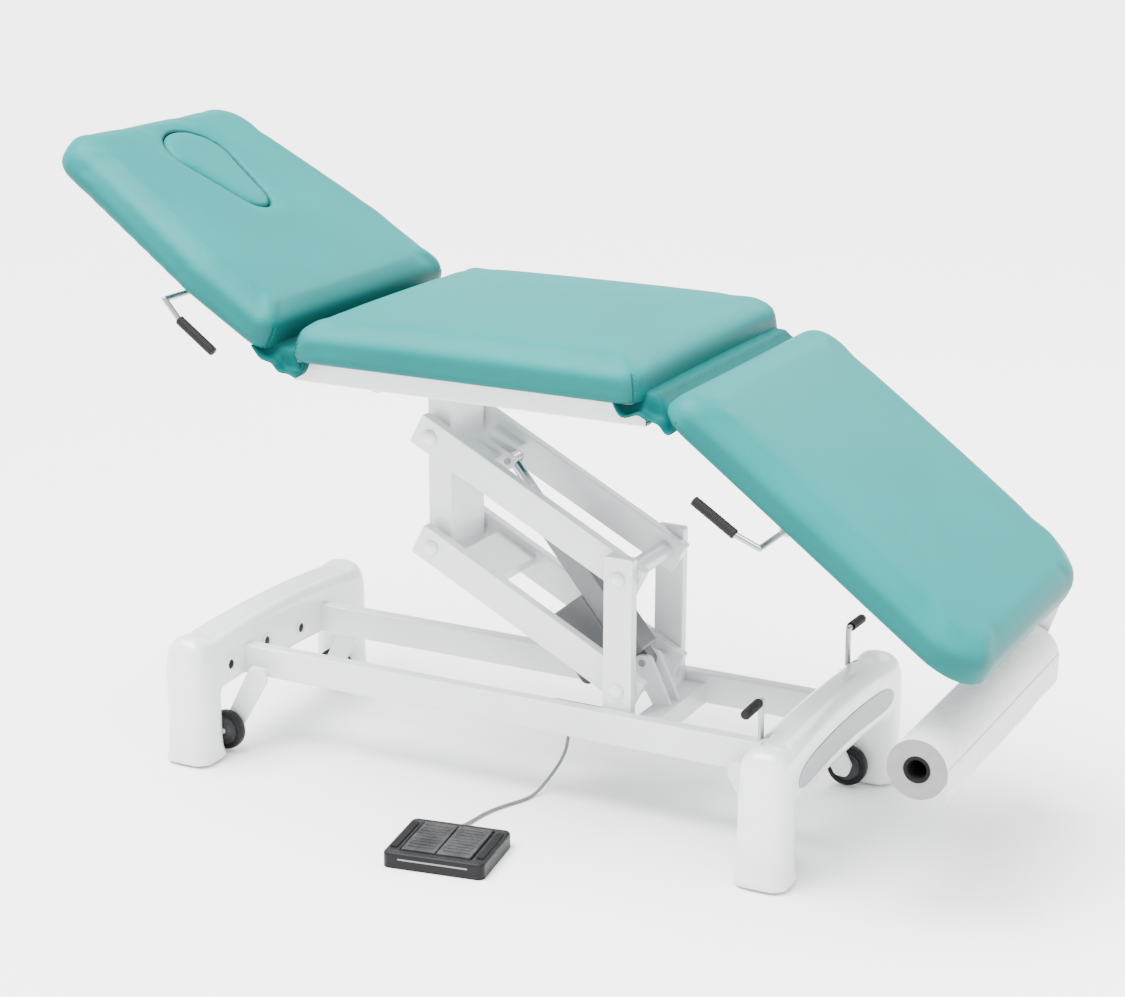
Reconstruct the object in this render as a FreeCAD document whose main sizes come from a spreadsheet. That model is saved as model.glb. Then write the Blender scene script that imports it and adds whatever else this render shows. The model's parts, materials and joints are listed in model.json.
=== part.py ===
"""Height-adjustable three-section exam table with a roll holder, foot switch and retracting casters.

Frame: X runs from the head end (-X) to the foot end (+X), Y from the near side (-Y) to the far side,
Z is up and the floor is Z = 0. Millimetres and degrees. Every size below drives the model through
the sheet named Dims; each sub-part is one document object whose Label is the name of its file.
"""
import FreeCAD, Part
import math
import os
import re

import Sketcher

V = FreeCAD.Vector
DOC = FreeCAD.newDocument("ExamTable")

DIMENSIONS = {
    # base frame
    "base_mid_x": -52.5, "rail_outer_y": 144, "rail_wide": 27, "rail_tall": 57, "rail_low_z": 140.5,
    "rail_reach": 545, "rail_wall": 2.5, "rail_round": 4,
    "end_reach": 570, "end_tube": 50, "end_tube_z": 140.5, "end_tube_y": 275, "end_wall": 2.5,
    "foot_tall": 14, "foot_r": 24, "leg_mid_y": 250,
    # end covers
    "cover_deep": 95, "cover_half_y": 296, "cover_top_z": 246, "cover_shoulder": 62,
    "cover_leg_y": 210, "cover_arch_z": 126, "cover_arch_round": 30, "cover_side_round": 26,
    "cover_wall": 4, "cover_inner": 11, "cover_low_z": 2, "cover_rim_out": 5, "cover_rim_tall": 12, "inset_deep": 2,
    "inset_low_z": 150, "inset_high_z": 204, "inset_half_y": 222, "lever_slot": 18,
    # lift linkage
    "pivot_x": 175, "low_pivot_z": 230, "high_pivot_z": 434.5, "arm_length": 430, "lift_angle": 27.5,
    "arm_tall": 60, "arm_thick": 20, "arm_end": 32, "arm_inner_y": 74, "pin_r": 10, "fit": 0.05,
    "post_wide": 55, "post_thick": 20, "post_top_z": 473, "post_inner_y": 95,
    "hub_r": 17, "hub_in_y": 52, "bolt_head_r": 13, "bolt_head_tall": 6, "lift_post_x": 49, "lift_post_y": 120,
    "lift_post_low_z": 398, "lift_post_wall": 4, "bush_r": 16,
    # actuator
    "act_low_x": 180, "act_low_z": 253, "act_pin_reach": 306, "act_pin_rise": 12, "act_pin_r": 6,
    "act_half": 22, "act_deep": 30, "act_start": 18, "act_end": 285, "motor_out": 125,
    "motor_end": 160, "act_bore_r": 16, "act_rod_r": 10, "act_rod_in": 250, "eye_half": 12,
    # table frame and sections
    "hinge_z": 790, "head_hinge_x": -392, "leg_hinge_x": 309, "head_tilt": 31.2, "leg_tilt": 36.5,
    "seat_rise": 6.5, "head_rise": 6, "leg_rise": 13.5, "board_thick": 12, "board_inset": 14,
    "seat_top": 70, "head_top": 63.5, "leg_top": 68, "pad_half_y": 310, "pad_edge": 16,
    "seat_low_x": -366, "seat_high_x": 296, "seat_corner": 24, "frame_low_z": 754, "frame_in_y": 240,
    "frame_wide": 25, "section_in_y": 205, "section_wide": 22, "section_drop": 14, "section_start": 11,
    "tube_wall": 2,
    "hinge_pin_r": 6, "lug_thick": 8, "head_start": 26, "head_end": 589, "head_taper_start": 200,
    "head_taper_end": 505, "head_end_half_y": 260, "head_corner": 70, "leg_start": 20,
    "leg_end": 674, "leg_foot_corner": 92, "leg_hinge_corner": 60,
    "plug_mid": 405, "plug_long": 240, "plug_wide": 150, "plug_narrow": 78, "plug_gap": 0.6,
    # levers
    "lever_y": 326, "lever_r": 5, "grip_r": 7.5, "head_lever_u": 225, "head_lever_w": -24,
    "head_grip_start": 182, "head_grip_end": 102, "head_grip_w": -44,
    "leg_lever_u": 283, "leg_lever_w": -25, "leg_grip_start": 238, "leg_grip_end": 158, "leg_grip_w": -42,
    # gas springs
    "spring_r": 13, "spring_bore_r": 11.5, "spring_rod_r": 5, "spring_pin_r": 5, "spring_tube_end": 190,
    "head_spring_x": -362, "head_spring_z": 692, "head_spring_u": 230, "head_spring_w": -8,
    "head_rod_in": 210, "leg_spring_x": 183, "leg_spring_z": 680, "leg_spring_u": 230,
    "leg_spring_w": -8, "leg_spring_y": 165, "leg_rod_in": 235,
    # paper roll
    "roll_u": 691, "roll_w": -131.5, "roll_r": 50, "core_r": 22, "roll_half_y": 303, "roll_bar_r": 8,
    "roll_arm_y": 312, "roll_arm_thick": 5, "roll_arm_wide": 22, "tail_thick": 0.8, "tail_drop": 44,
    "strap_w": -2.5, "strap_tall": 22, "roll_bar_short": 100,
    # casters and their levers
    "caster_axle_x": 545, "caster_axle_z": 42, "caster_pivot_x": 483, "caster_pivot_z": 152,
    "caster_r": 37.5, "caster_wide": 24, "caster_mid_y": 190, "caster_axle_r": 5,
    "caster_arm_y": 166, "caster_arm_thick": 8, "step_x": 490, "step_z": 203, "step_y": 200,
    "step_top_z": 298, "step_out_y": 262,
    # foot switch, its cable and the control box
    "switch_x": 1, "switch_y": -405, "switch_turn": 9.5, "switch_long": 180, "switch_deep": 150,
    "switch_tall": 28, "rocker_long": 62, "rocker_deep": 116, "rocker_low_z": 21, "rocker_tall": 10,
    "rocker_pin_r": 2, "rocker_pin_y": 51, "rocker_pin_z": 26,
    "cable_r": 3, "boss_r": 6.5, "boss_long": 14, "boss_z": 12,
    "box_x": 22, "box_long": 116, "box_y": 47, "box_wide": 70, "box_z": 141, "box_tall": 26,
    "gland_in": 35,
}

sheet = DOC.addObject("Spreadsheet::Sheet", "Dims")
for row, (alias, number) in enumerate(DIMENSIONS.items(), start=1):
    sheet.set("A%d" % row, alias.replace("_", " "))
    sheet.set("B%d" % row, str(number))
    sheet.setAlias("B%d" % row, alias)
DOC.recompute()

NODES = []


def size(alias):
    """A driving dimension read back from the sheet."""
    return float(sheet.get(alias))


def on_sheet(text):
    """The same expression with every alias pointing at the sheet."""
    return re.sub(r"[a-z]+(?:_[a-z]+)+|\bfit\b", lambda m: "Dims." + m.group(0), str(text))


def bind(thing, name, text):
    thing.setExpression(name, on_sheet(text))


class Frame:
    """A working frame turned about Y (or Z): where a sub-part's own origin stands in the table."""

    def __init__(self, x="0", y="0", z="0", turn=None, axis="Y"):
        self.x, self.y, self.z, self.turn, self.axis = x, y, z, turn, axis

    def place(self, thing, x="0", y="0", z="0"):
        if self.turn is None:
            base = (f"({self.x}) + ({x})", f"({self.y}) + ({y})", f"({self.z}) + ({z})")
        elif self.axis == "Y":
            base = (f"({self.x}) + ({x}) * cos({self.turn}) + ({z}) * sin({self.turn})",
                    f"({self.y}) + ({y})",
                    f"({self.z}) - ({x}) * sin({self.turn}) + ({z}) * cos({self.turn})")
        else:
            base = (f"({self.x}) + ({x}) * cos({self.turn}) - ({y}) * sin({self.turn})",
                    f"({self.y}) + ({x}) * sin({self.turn}) + ({y}) * cos({self.turn})",
                    f"({self.z}) + ({z})")
        for name, text in zip("xyz", base):
            bind(thing, "Placement.Base." + name, text)

    def turned(self, thing):
        if self.turn is not None:
            about = V(0, 1, 0) if self.axis == "Y" else V(0, 0, 1)
            thing.Placement.Rotation = FreeCAD.Rotation(about, 1)
            bind(thing, "Placement.Rotation.Angle", f"({self.turn}) * 1 deg")


TABLE = Frame()
HIGH_ARM = Frame("pivot_x", "0", "high_pivot_z", "lift_angle")
LOW_ARM = Frame("pivot_x", "0", "low_pivot_z", "lift_angle")
HEAD = Frame("head_hinge_x", "0", "hinge_z", "head_tilt")
LEG = Frame("leg_hinge_x", "0", "hinge_z", "leg_tilt")
SWITCH = Frame("switch_x", "switch_y", "0", "switch_turn", "Z")
LIFTED_X = "(pivot_x - arm_length * cos(lift_angle))"
RISE = "(arm_length * sin(lift_angle))"
ACT_TOP_X = "(pivot_x - act_pin_reach * cos(lift_angle) + act_pin_rise * sin(lift_angle))"
ACT_TOP_Z = "(high_pivot_z + act_pin_reach * sin(lift_angle) + act_pin_rise * cos(lift_angle))"
ACT_TURN = f"(atan(({ACT_TOP_Z} - act_low_z) / (act_low_x - {ACT_TOP_X})) / 1 deg)"
ACTUATOR = Frame("act_low_x", "0", "act_low_z", ACT_TURN)
HEAD_ROD_X = "(head_hinge_x - head_spring_u * cos(head_tilt) + head_spring_w * sin(head_tilt))"
HEAD_ROD_Z = "(hinge_z + head_spring_u * sin(head_tilt) + head_spring_w * cos(head_tilt))"
HEAD_SPRING_TURN = f"(atan(({HEAD_ROD_Z} - head_spring_z) / (head_spring_x - {HEAD_ROD_X})) / 1 deg)"
LEG_ROD_X = "(leg_hinge_x + leg_spring_u * cos(leg_tilt) + leg_spring_w * sin(leg_tilt))"
LEG_ROD_Z = "(hinge_z - leg_spring_u * sin(leg_tilt) + leg_spring_w * cos(leg_tilt))"
LEG_SPRING_TURN = f"(atan((leg_spring_z - {LEG_ROD_Z}) / ({LEG_ROD_X} - leg_spring_x)) / 1 deg)"


# ---------------------------------------------------------------- building blocks

def node(thing, label):
    """Give a finished sub-part its label, and list it for writing."""
    thing.Label = label
    NODES.append(thing)
    return thing


def box(x, y, z, frame=TABLE):
    """A box between two places on each axis of its frame."""
    thing = DOC.addObject("Part::Box", "Box")
    for side, (low, high) in zip(("Length", "Width", "Height"), (x, y, z)):
        bind(thing, side, f"({high}) - ({low})")
    frame.turned(thing)
    frame.place(thing, x[0], y[0], z[0])
    return thing


def rod(x, z, y, radius, frame=TABLE):
    """A round bar along Y, from y[0] to y[1]."""
    thing = DOC.addObject("Part::Cylinder", "Rod")
    bind(thing, "Radius", radius)
    bind(thing, "Height", f"({y[1]}) - ({y[0]})")
    thing.Placement.Rotation = FreeCAD.Rotation(V(1, 0, 0), -90)
    frame.place(thing, x, y[0], z)
    return thing


def upright(x, y, z, radius, frame=TABLE):
    """A round bar along Z, from z[0] to z[1]."""
    thing = DOC.addObject("Part::Cylinder", "Upright")
    bind(thing, "Radius", radius)
    bind(thing, "Height", f"({z[1]}) - ({z[0]})")
    frame.place(thing, x, y, z[0])
    return thing


def dome(x, z, y, side, frame=TABLE):
    """A low domed bolt head whose flat back is at y, facing outwards on the given side."""
    thing = DOC.addObject("Part::Cone", "BoltHead")
    bind(thing, "Radius1", "bolt_head_r")
    bind(thing, "Radius2", "bolt_head_r * 0.55")
    bind(thing, "Height", "bolt_head_tall")
    thing.Placement.Rotation = FreeCAD.Rotation(V(1, 0, 0), -90 * side)
    frame.place(thing, x, y, z)
    return thing


def fuse(parts):
    thing = DOC.addObject("Part::MultiFuse", "Joined")
    thing.Shapes = parts
    return thing


def cut(whole, tools):
    thing = DOC.addObject("Part::Cut", "Cut")
    thing.Base = whole
    thing.Tool = tools[0] if len(tools) == 1 else fuse(tools)
    return thing


def group(parts):
    thing = DOC.addObject("Part::Compound", "Group")
    thing.Links = parts
    return thing


def new_body():
    return DOC.addObject("PartDesign::Body", "Body")


def new_sketch(body, plane):
    sketch = body.newObject("Sketcher::SketchObject", "Sketch")
    origin = next(o for o in body.Origin.OriginFeatures if o.Role == plane)
    sketch.AttachmentSupport = [(origin, "")]
    sketch.MapMode = "FlatFace"
    return sketch


def pin_down(sketch, element, end, x, y):
    """Fix one point of a sketch element at two sheet-driven distances from the sketch origin."""
    for kind, text in (("DistanceX", x), ("DistanceY", y)):
        index = sketch.addConstraint(Sketcher.Constraint(kind, -1, 1, element, end, 1.0))
        bind(sketch, "Constraints[%d]" % index, text)


def outline(body, plane, points):
    """A closed outline of straight lines through sheet-driven points."""
    sketch = new_sketch(body, plane)
    count = len(points)
    start = [V(50 * math.cos(2 * math.pi * i / count), 50 * math.sin(2 * math.pi * i / count), 0)
             for i in range(count)]
    for i in range(count):
        sketch.addGeometry(Part.LineSegment(start[i], start[(i + 1) % count]), False)
    for i in range(count):
        sketch.addConstraint(Sketcher.Constraint("Coincident", i, 2, (i + 1) % count, 1))
    for i, (x, y) in enumerate(points):
        pin_down(sketch, i, 1, x, y)
    return sketch


def rings(body, plane, circles):
    """A sketch of separate circles, each (x, y, radius)."""
    sketch = new_sketch(body, plane)
    for i, (x, y, radius) in enumerate(circles):
        sketch.addGeometry(Part.Circle(V(10 * i, 0, 0), V(0, 0, 1), 2), False)
        pin_down(sketch, i, 3, x, y)
        index = sketch.addConstraint(Sketcher.Constraint("Radius", i, 2.0))
        bind(sketch, "Constraints[%d]" % index, radius)
    return sketch


def pad(body, sketch, length, both_ways=True):
    feature = body.newObject("PartDesign::Pad", "Pad")
    feature.Profile = sketch
    feature.Midplane = both_ways
    bind(feature, "Length", length)
    DOC.recompute()
    return feature


def pocket(body, sketch, length, both_ways=True, reversed_way=False):
    before = body.Shape.Volume
    feature = body.newObject("PartDesign::Pocket", "Pocket")
    feature.Profile = sketch
    feature.Midplane = both_ways
    feature.Reversed = reversed_way
    bind(feature, "Length", length)
    DOC.recompute()
    if not body.Shape.Volume < before - 0.01:
        raise RuntimeError(f"a pocket in {body.Name} removed nothing")
    return feature


def fillet(body, feature, chosen, radius):
    """Round the edges of a feature for which chosen(edge) is true."""
    names = ["Edge%d" % i for i, edge in enumerate(feature.Shape.Edges, start=1) if chosen(edge)]
    rounded = body.newObject("PartDesign::Fillet", "Fillet")
    rounded.Base = (feature, names)
    bind(rounded, "Radius", radius)
    DOC.recompute()
    return rounded


def runs_along(axis):
    """Chooses straight edges that run along one axis of the body."""
    def chosen(edge):
        ends = edge.BoundBox
        spans = {"X": ends.XLength, "Y": ends.YLength, "Z": ends.ZLength}
        return spans[axis] > 1e-3 and sum(spans.values()) - spans[axis] < 1e-3
    return chosen


def plate(points, thickness, plane="XZ_Plane", soft=None, holes=(), frame=TABLE, at=("0", "0", "0"),
          corners=()):
    """A plate of a given outline, with rounded corners, softened edges and round holes through it.

    corners holds (index of the point, radius); the plate is centred on its sketch plane.
    """
    body = new_body()
    sketch = outline(body, plane, points)
    last = pad(body, sketch, thickness)
    across = {"XZ_Plane": "Y", "XY_Plane": "Z", "YZ_Plane": "X"}[plane]
    for index, radius in corners:
        spot = sketch.Placement.multVec(sketch.Geometry[index].StartPoint)

        def at_corner(edge):
            middle = edge.CenterOfMass
            gap = {"Y": V(middle.x - spot.x, 0, middle.z - spot.z),
                   "Z": V(middle.x - spot.x, middle.y - spot.y, 0),
                   "X": V(0, middle.y - spot.y, middle.z - spot.z)}[across]
            return runs_along(across)(edge) and gap.Length < 1e-3
        last = fillet(body, last, at_corner, radius)
    if soft:
        last = fillet(body, last, lambda edge: not runs_along(across)(edge), soft)
    if holes:
        pocket(body, rings(body, plane, holes), f"({thickness}) * 2 + 10")
    frame.turned(body)
    frame.place(body, *at)
    return body


def tube(axis, a, b, length, wall, rounding=None, holes=(), hole_plane="XZ_Plane", frame=TABLE,
         at=("0", "0", "0")):
    """A square or oblong tube centred on its axis: a and b are its outer sides, wall its thickness."""
    plane = {"X": "YZ_Plane", "Y": "XZ_Plane", "Z": "XY_Plane"}[axis]
    body = new_body()

    def rectangle(shrink):
        across, up = f"(({a}) / 2 - ({shrink}))", f"(({b}) / 2 - ({shrink}))"
        return outline(body, plane, [(f"-{across}", f"-{up}"), (across, f"-{up}"), (across, up),
                                     (f"-{across}", up)])
    last = pad(body, rectangle("0"), length)
    if rounding:
        last = fillet(body, last, runs_along(axis), rounding)
    pocket(body, rectangle(wall), f"({length}) + 10")
    if holes:
        pocket(body, rings(body, hole_plane, holes), f"({a}) + ({b}) + 20")
    frame.turned(body)
    frame.place(body, *at)
    return body


# ---------------------------------------------------------------- base

def base_rails():
    for name, side in (("rail_near", "-1"), ("rail_far", "1")):
        rail = tube("X", "rail_wide", "rail_tall", "rail_reach * 2", "rail_wall", "rail_round",
                    at=("base_mid_x", f"{side} * (rail_outer_y - rail_wide / 2)",
                        "rail_low_z + rail_tall / 2"))
        node(rail, name)


def end_frames():
    """Steel cross tubes and legs inside the end covers, with the pivots of the casters and levers."""
    parts = []
    for end in ("-1", "1"):
        middle = f"base_mid_x + ({end}) * end_reach"
        parts.append(tube("Y", "end_tube", "end_tube", "end_tube_y * 2", "end_wall", "rail_round",
                          at=(middle, "0", "end_tube_z + end_tube / 2")))
        for side in ("-1", "1"):
            parts.append(tube("Z", "end_tube", "end_tube", "end_tube_z - foot_tall", "end_wall",
                              "rail_round", at=(middle, f"({side}) * leg_mid_y",
                                                "(end_tube_z + foot_tall) / 2")))
            low, high = sorted_y(side, "rail_outer_y", "caster_arm_y + caster_arm_thick + 1")
            parts.append(rod(f"base_mid_x + ({end}) * caster_pivot_x", "caster_pivot_z", (low, high),
                             "caster_axle_r + 1"))
    for side in ("-1", "1"):
        low, high = sorted_y(side, "step_y - 21", "step_y - 15")
        parts.append(box(("step_x - 6", "step_x + 18"), (low, high),
                         ("end_tube_z + end_tube", "step_z + 9")))
        low, high = sorted_y(side, "step_y - 15", "step_y + 9")
        parts.append(rod("step_x", "step_z", (low, high), "4"))
    node(group(parts), "end_frames")


def sorted_y(side, near_middle, far_out):
    """Low and high Y of something between two distances from the middle plane, on one side."""
    if side == "1":
        return near_middle, far_out
    return f"-({far_out})", f"-({near_middle})"


def foot_pads():
    parts = [upright(f"base_mid_x + ({end}) * end_reach", f"({side}) * leg_mid_y", ("0", "foot_tall"),
                     "foot_r") for end in ("-1", "1") for side in ("-1", "1")]
    node(group(parts), "foot_pads")


def end_cover(label, end):
    """An arched moulded shell over one end frame, open underneath, on two rounded legs."""
    body = new_body()
    half, top, leg, arch = "cover_half_y", "cover_top_z", "cover_leg_y", "cover_arch_z"
    sketch = outline(body, "YZ_Plane", [
        (f"-{half}", "cover_low_z"), (f"-{leg}", "cover_low_z"), (f"-{leg}", arch), (leg, arch),
        (leg, "cover_low_z"), (half, "cover_low_z"), (half, top), (f"-{half}", top)])
    last = pad(body, sketch, "cover_deep")
    reach, shoulder_z = size("cover_half_y"), size("cover_top_z")

    def shoulder(edge):
        middle = edge.CenterOfMass
        return runs_along("X")(edge) and abs(middle.z - shoulder_z) < 1 and abs(abs(middle.y) - reach) < 1

    def arch_corner(edge):
        middle = edge.CenterOfMass
        return (runs_along("X")(edge) and abs(middle.z - size("cover_arch_z")) < 1
                and abs(abs(middle.y) - size("cover_leg_y")) < 1)

    def outer_rim(edge):
        middle = edge.CenterOfMass
        on_face = abs(abs(middle.x) - size("cover_deep") / 2) < 1e-3
        outside = abs(middle.y) > size("cover_half_y") - 30 or middle.z > size("cover_top_z") - 30
        return on_face and outside and middle.z > size("cover_low_z") + 1

    def rim_corner(edge):
        middle = edge.CenterOfMass
        return (runs_along("Z")(edge) and edge.Length < size("cover_rim_tall") + 1
                and abs(abs(middle.x) - size("cover_deep") / 2 - size("cover_rim_out")) < 1e-3
                and abs(middle.y) > size("cover_half_y"))

    last = fillet(body, last, shoulder, "cover_shoulder")
    last = fillet(body, last, arch_corner, "cover_arch_round")
    last = fillet(body, last, outer_rim, "cover_side_round")
    for side in ("-1", "1"):
        low, high = sorted_y(side, "cover_leg_y", "cover_half_y + cover_rim_out")
        out = "(cover_deep / 2 + cover_rim_out)"
        rim = outline(body, "XY_Plane", [(f"-{out}", low), (out, low), (out, high), (f"-{out}", high)])
        rim.setExpression("AttachmentOffset.Base.z", on_sheet("cover_low_z"))
        last = pad(body, rim, "cover_rim_tall", both_ways=False)
        last = fillet(body, last, rim_corner, "cover_side_round")
    face = f"({end} * (cover_deep / 2))"
    sunk = f"({end} * (cover_deep / 2 - inset_deep))"
    mid_x = f"base_mid_x + ({end}) * end_reach"
    TABLE.place(body, mid_x, "0", "0")
    inset_x = (f"{mid_x} + {sunk}", f"{mid_x} + {face}")
    if end == "-1":
        inset_x = inset_x[::-1]
    sunk_box = box(inset_x, ("-inset_half_y", "inset_half_y"), ("inset_low_z", "inset_high_z"))
    inside = "(cover_deep / 2 - cover_inner)"
    hollow_x = (f"{mid_x} - {inside}", f"{mid_x} + {inside}")
    floor_z = "cover_arch_z + cover_wall"
    tools = [sunk_box]
    for reach_y, roof_z in (("cover_half_y - cover_inner", "cover_top_z - cover_shoulder + 8"),
                            ("cover_half_y - cover_shoulder", "cover_top_z - cover_inner")):
        tools.append(box(hollow_x, (f"-({reach_y})", reach_y), (floor_z, roof_z)))
    for side in ("-1", "1"):
        low, high = sorted_y(side, "cover_leg_y + cover_wall", "cover_half_y - cover_inner")
        tools.append(box(hollow_x, (low, high), ("0", "cover_arch_z + 10")))
        rail_low, rail_high = sorted_y(side, "rail_outer_y - rail_wide - 1", "rail_outer_y + 1")
        inner = (f"{mid_x} - ({end}) * (cover_deep / 2 + 6)", f"{mid_x} - ({end}) * {inside}")
        if end == "-1":
            inner = inner[::-1]
        tools.append(box(inner, (rail_low, rail_high), ("rail_low_z - 1", "rail_low_z + rail_tall + 1")))
        if end == "1":
            low, high = sorted_y(side, "step_y - lever_slot / 2", "step_y + lever_slot / 2")
            tools.append(box(("step_x - 30", "step_x + 10"), (low, high), ("step_z - 12", "cover_top_z + 5")))
    return node(cut(body, tools), label), inset_x


def cover_insets(spans):
    """The flat trim strips let into the outer faces of the two end covers."""
    parts = [box(span, ("-inset_half_y + 1", "inset_half_y - 1"), ("inset_low_z + 1", "inset_high_z - 1"))
             for span in spans]
    node(group(parts), "cover_insets")


def base_posts():
    """Upright bars welded inside the rails, each with the two fixed pivots of the lift arms."""
    parts = []
    half = "(post_wide / 2)"
    for side in ("-1", "1"):
        parts.append(plate([(f"-{half}", "rail_low_z"), (half, "rail_low_z"), (half, "post_top_z"),
                            (f"-{half}", "post_top_z")], "post_thick", soft="2",
                           corners=((2, "5"), (3, "5")),
                           holes=(("0", "low_pivot_z", "pin_r + fit"), ("0", "high_pivot_z", "pin_r + fit")),
                           at=("pivot_x", f"({side}) * (post_inner_y + post_thick / 2)", "0")))
    node(group(parts), "base_posts")


def lift_crossbeam():
    """The beam between the rails that carries the actuator's lower lugs."""
    half = "(rail_outer_y - rail_wide)"
    beam_x = "pivot_x + post_wide / 2"
    beam = box((beam_x, f"{beam_x} + 40"), (f"-{half}", half), ("rail_low_z", "rail_low_z + 40"))
    low_z = "rail_low_z + 30"
    parts = [beam]
    for side in ("-1", "1"):
        parts.append(plate([(f"{beam_x} + 2", low_z), (f"{beam_x} + 38", low_z), ("act_low_x + 15", "act_low_z + 14"),
                            ("act_low_x - 15", "act_low_z + 14"), ("act_low_x - 15", "act_low_z - 14")], "8",
                           corners=((2, "12"), (3, "12"), (4, "10")),
                           holes=(("act_low_x", "act_low_z", "act_pin_r + fit"),),
                           at=("0", f"({side}) * (eye_half + 5)", "0")))
    node(fuse(parts), "lift_crossbeam")


def base_pivot_bolts():
    parts = []
    out = "(post_inner_y + post_thick)"
    heads = [dome("pivot_x", "high_pivot_z", f"({side}) * {out}", int(side)) for side in ("-1", "1")]
    parts.append(fuse([rod("pivot_x", "high_pivot_z", (f"-{out}", out), "pin_r")] + heads))
    for side in ("-1", "1"):
        low, high = sorted_y(side, "hub_in_y", out)
        parts.append(fuse([rod("pivot_x", "low_pivot_z", (low, high), "pin_r"),
                           dome("pivot_x", "low_pivot_z", f"({side}) * {out}", int(side))]))
    parts.append(rod("act_low_x", "act_low_z", ("-(eye_half + 13)", "eye_half + 13"), "act_pin_r"))
    node(group(parts), "base_pivot_bolts")


def control_box():
    near, far = "-(box_y + box_wide)", "-box_y"
    body = box(("box_x", "box_x + box_long"), (near, far), ("box_z", "box_z + box_tall"))
    node(body, "control_box")
    node(upright("box_x + gland_in", "-(box_y + 18)", ("box_z - 14", "box_z"), "boss_r"), "cable_gland")


# ---------------------------------------------------------------- lift linkage and actuator

def arm_pair(frame):
    """Two flat arms side by side, each bored for a pivot at both ends."""
    reach, half = "(arm_length + arm_end)", "(arm_tall / 2)"
    points = [(f"-{reach}", f"-{half}"), ("arm_end", f"-{half}"), ("arm_end", half), (f"-{reach}", half)]
    holes = (("0", "0", "pin_r + fit"), ("-arm_length", "0", "pin_r + fit"))
    return [plate(points, "arm_thick", soft="2", corners=((0, "4"), (1, "4"), (2, "4"), (3, "4")),
                  holes=holes, frame=frame, at=("0", f"({side}) * (arm_inner_y + arm_thick / 2)", "0"))
            for side in ("-1", "1")]


def hub_tube(frame, span=("-arm_inner_y", "arm_inner_y")):
    """The spacer tube a pivot bolt runs through, between the two arms."""
    return cut(rod("0", "0", span, "hub_r", frame), [rod("0", "0", span, "pin_r + fit", frame)])


def lift_arms():
    node(group(arm_pair(HIGH_ARM)), "upper_arms")
    half = "arm_inner_y"
    web = box(("-384", "-322"), (f"-{half}", half), ("6", "14"), HIGH_ARM)
    lugs = []
    for side in ("-1", "1"):
        lugs.append(plate([("-(act_pin_reach + 70)", "7"), ("-(act_pin_reach + 13)", "-2"),
                           ("-(act_pin_reach - 13)", "act_pin_rise - 13"),
                           ("-(act_pin_reach - 13)", "act_pin_rise + 13"),
                           ("-(act_pin_reach + 13)", "act_pin_rise + 13"), ("-(act_pin_reach + 70)", "14")],
                          "6", corners=((2, "10"), (3, "10")),
                          holes=(("-act_pin_reach", "act_pin_rise", "act_pin_r + fit"),),
                          frame=HIGH_ARM, at=("0", f"({side}) * (eye_half + 4)", "0")))
    pin = rod("-act_pin_reach", "act_pin_rise", ("-(eye_half + 11)", "eye_half + 11"), "act_pin_r", HIGH_ARM)
    node(group([fuse([web] + lugs), hub_tube(HIGH_ARM)]), "upper_arm_cross")
    node(pin, "actuator_upper_pin")
    node(group(arm_pair(LOW_ARM)), "lower_arms")
    brace = box(("-384", "-300"), (f"-{half}", half), ("-6", "18"), LOW_ARM)
    hubs = [hub_tube(LOW_ARM, sorted_y(side, "hub_in_y", "arm_inner_y")) for side in ("-1", "1")]
    node(group([brace] + hubs), "lower_arm_cross")


def actuator():
    """Linear actuator: spindle housing with its eye, motor beside it, and the rod that slides in it."""
    half = "act_half"
    shell = plate([("-act_end", f"-{half}"), ("-act_start", f"-{half}"), ("-act_start", half),
                   ("-act_end", half)], "act_deep * 2", soft="4",
                  corners=((0, "6"), (1, "6"), (2, "6"), (3, "6")), frame=ACTUATOR)
    eye = box(("-(act_start + 8)", "0"), ("-eye_half", "eye_half"), ("-13", "13"), ACTUATOR)
    eye_end = rod("0", "0", ("-eye_half", "eye_half"), "13", ACTUATOR)
    bore = DOC.addObject("Part::Cylinder", "Bore")
    bind(bore, "Radius", "act_bore_r")
    bind(bore, "Height", "act_end - 45 + 5")
    lay_along(bore, ACTUATOR, "-1", "act_end + 5")
    pin_hole = rod("0", "0", ("-40", "40"), "act_pin_r + fit", ACTUATOR)
    node(cut(fuse([shell, eye, eye_end]), [bore, pin_hole]), "actuator_housing")
    motor = plate([("-motor_end", "-motor_out"), ("-act_start - 2", "-motor_out"), ("-act_start - 2", f"-{half}"),
                   ("-motor_end", f"-{half}")], "act_deep * 2", soft="6",
                  corners=((0, "14"), (1, "14")), frame=ACTUATOR)
    node(motor, "actuator_motor")
    length = f"sqrt(({ACT_TOP_X} - act_low_x)^2 + ({ACT_TOP_Z} - act_low_z)^2)"
    stem = DOC.addObject("Part::Cylinder", "Stem")
    bind(stem, "Radius", "act_rod_r")
    bind(stem, "Height", "act_rod_in - 8")
    lay_along(stem, ACTUATOR, "-1", f"({length}) - 8")
    tip = rod(f"-({length})", "0", ("-eye_half", "eye_half"), "13", ACTUATOR)
    hole = rod(f"-({length})", "0", ("-40", "40"), "act_pin_r + fit", ACTUATOR)
    node(cut(fuse([stem, tip]), [hole]), "actuator_rod")


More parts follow.
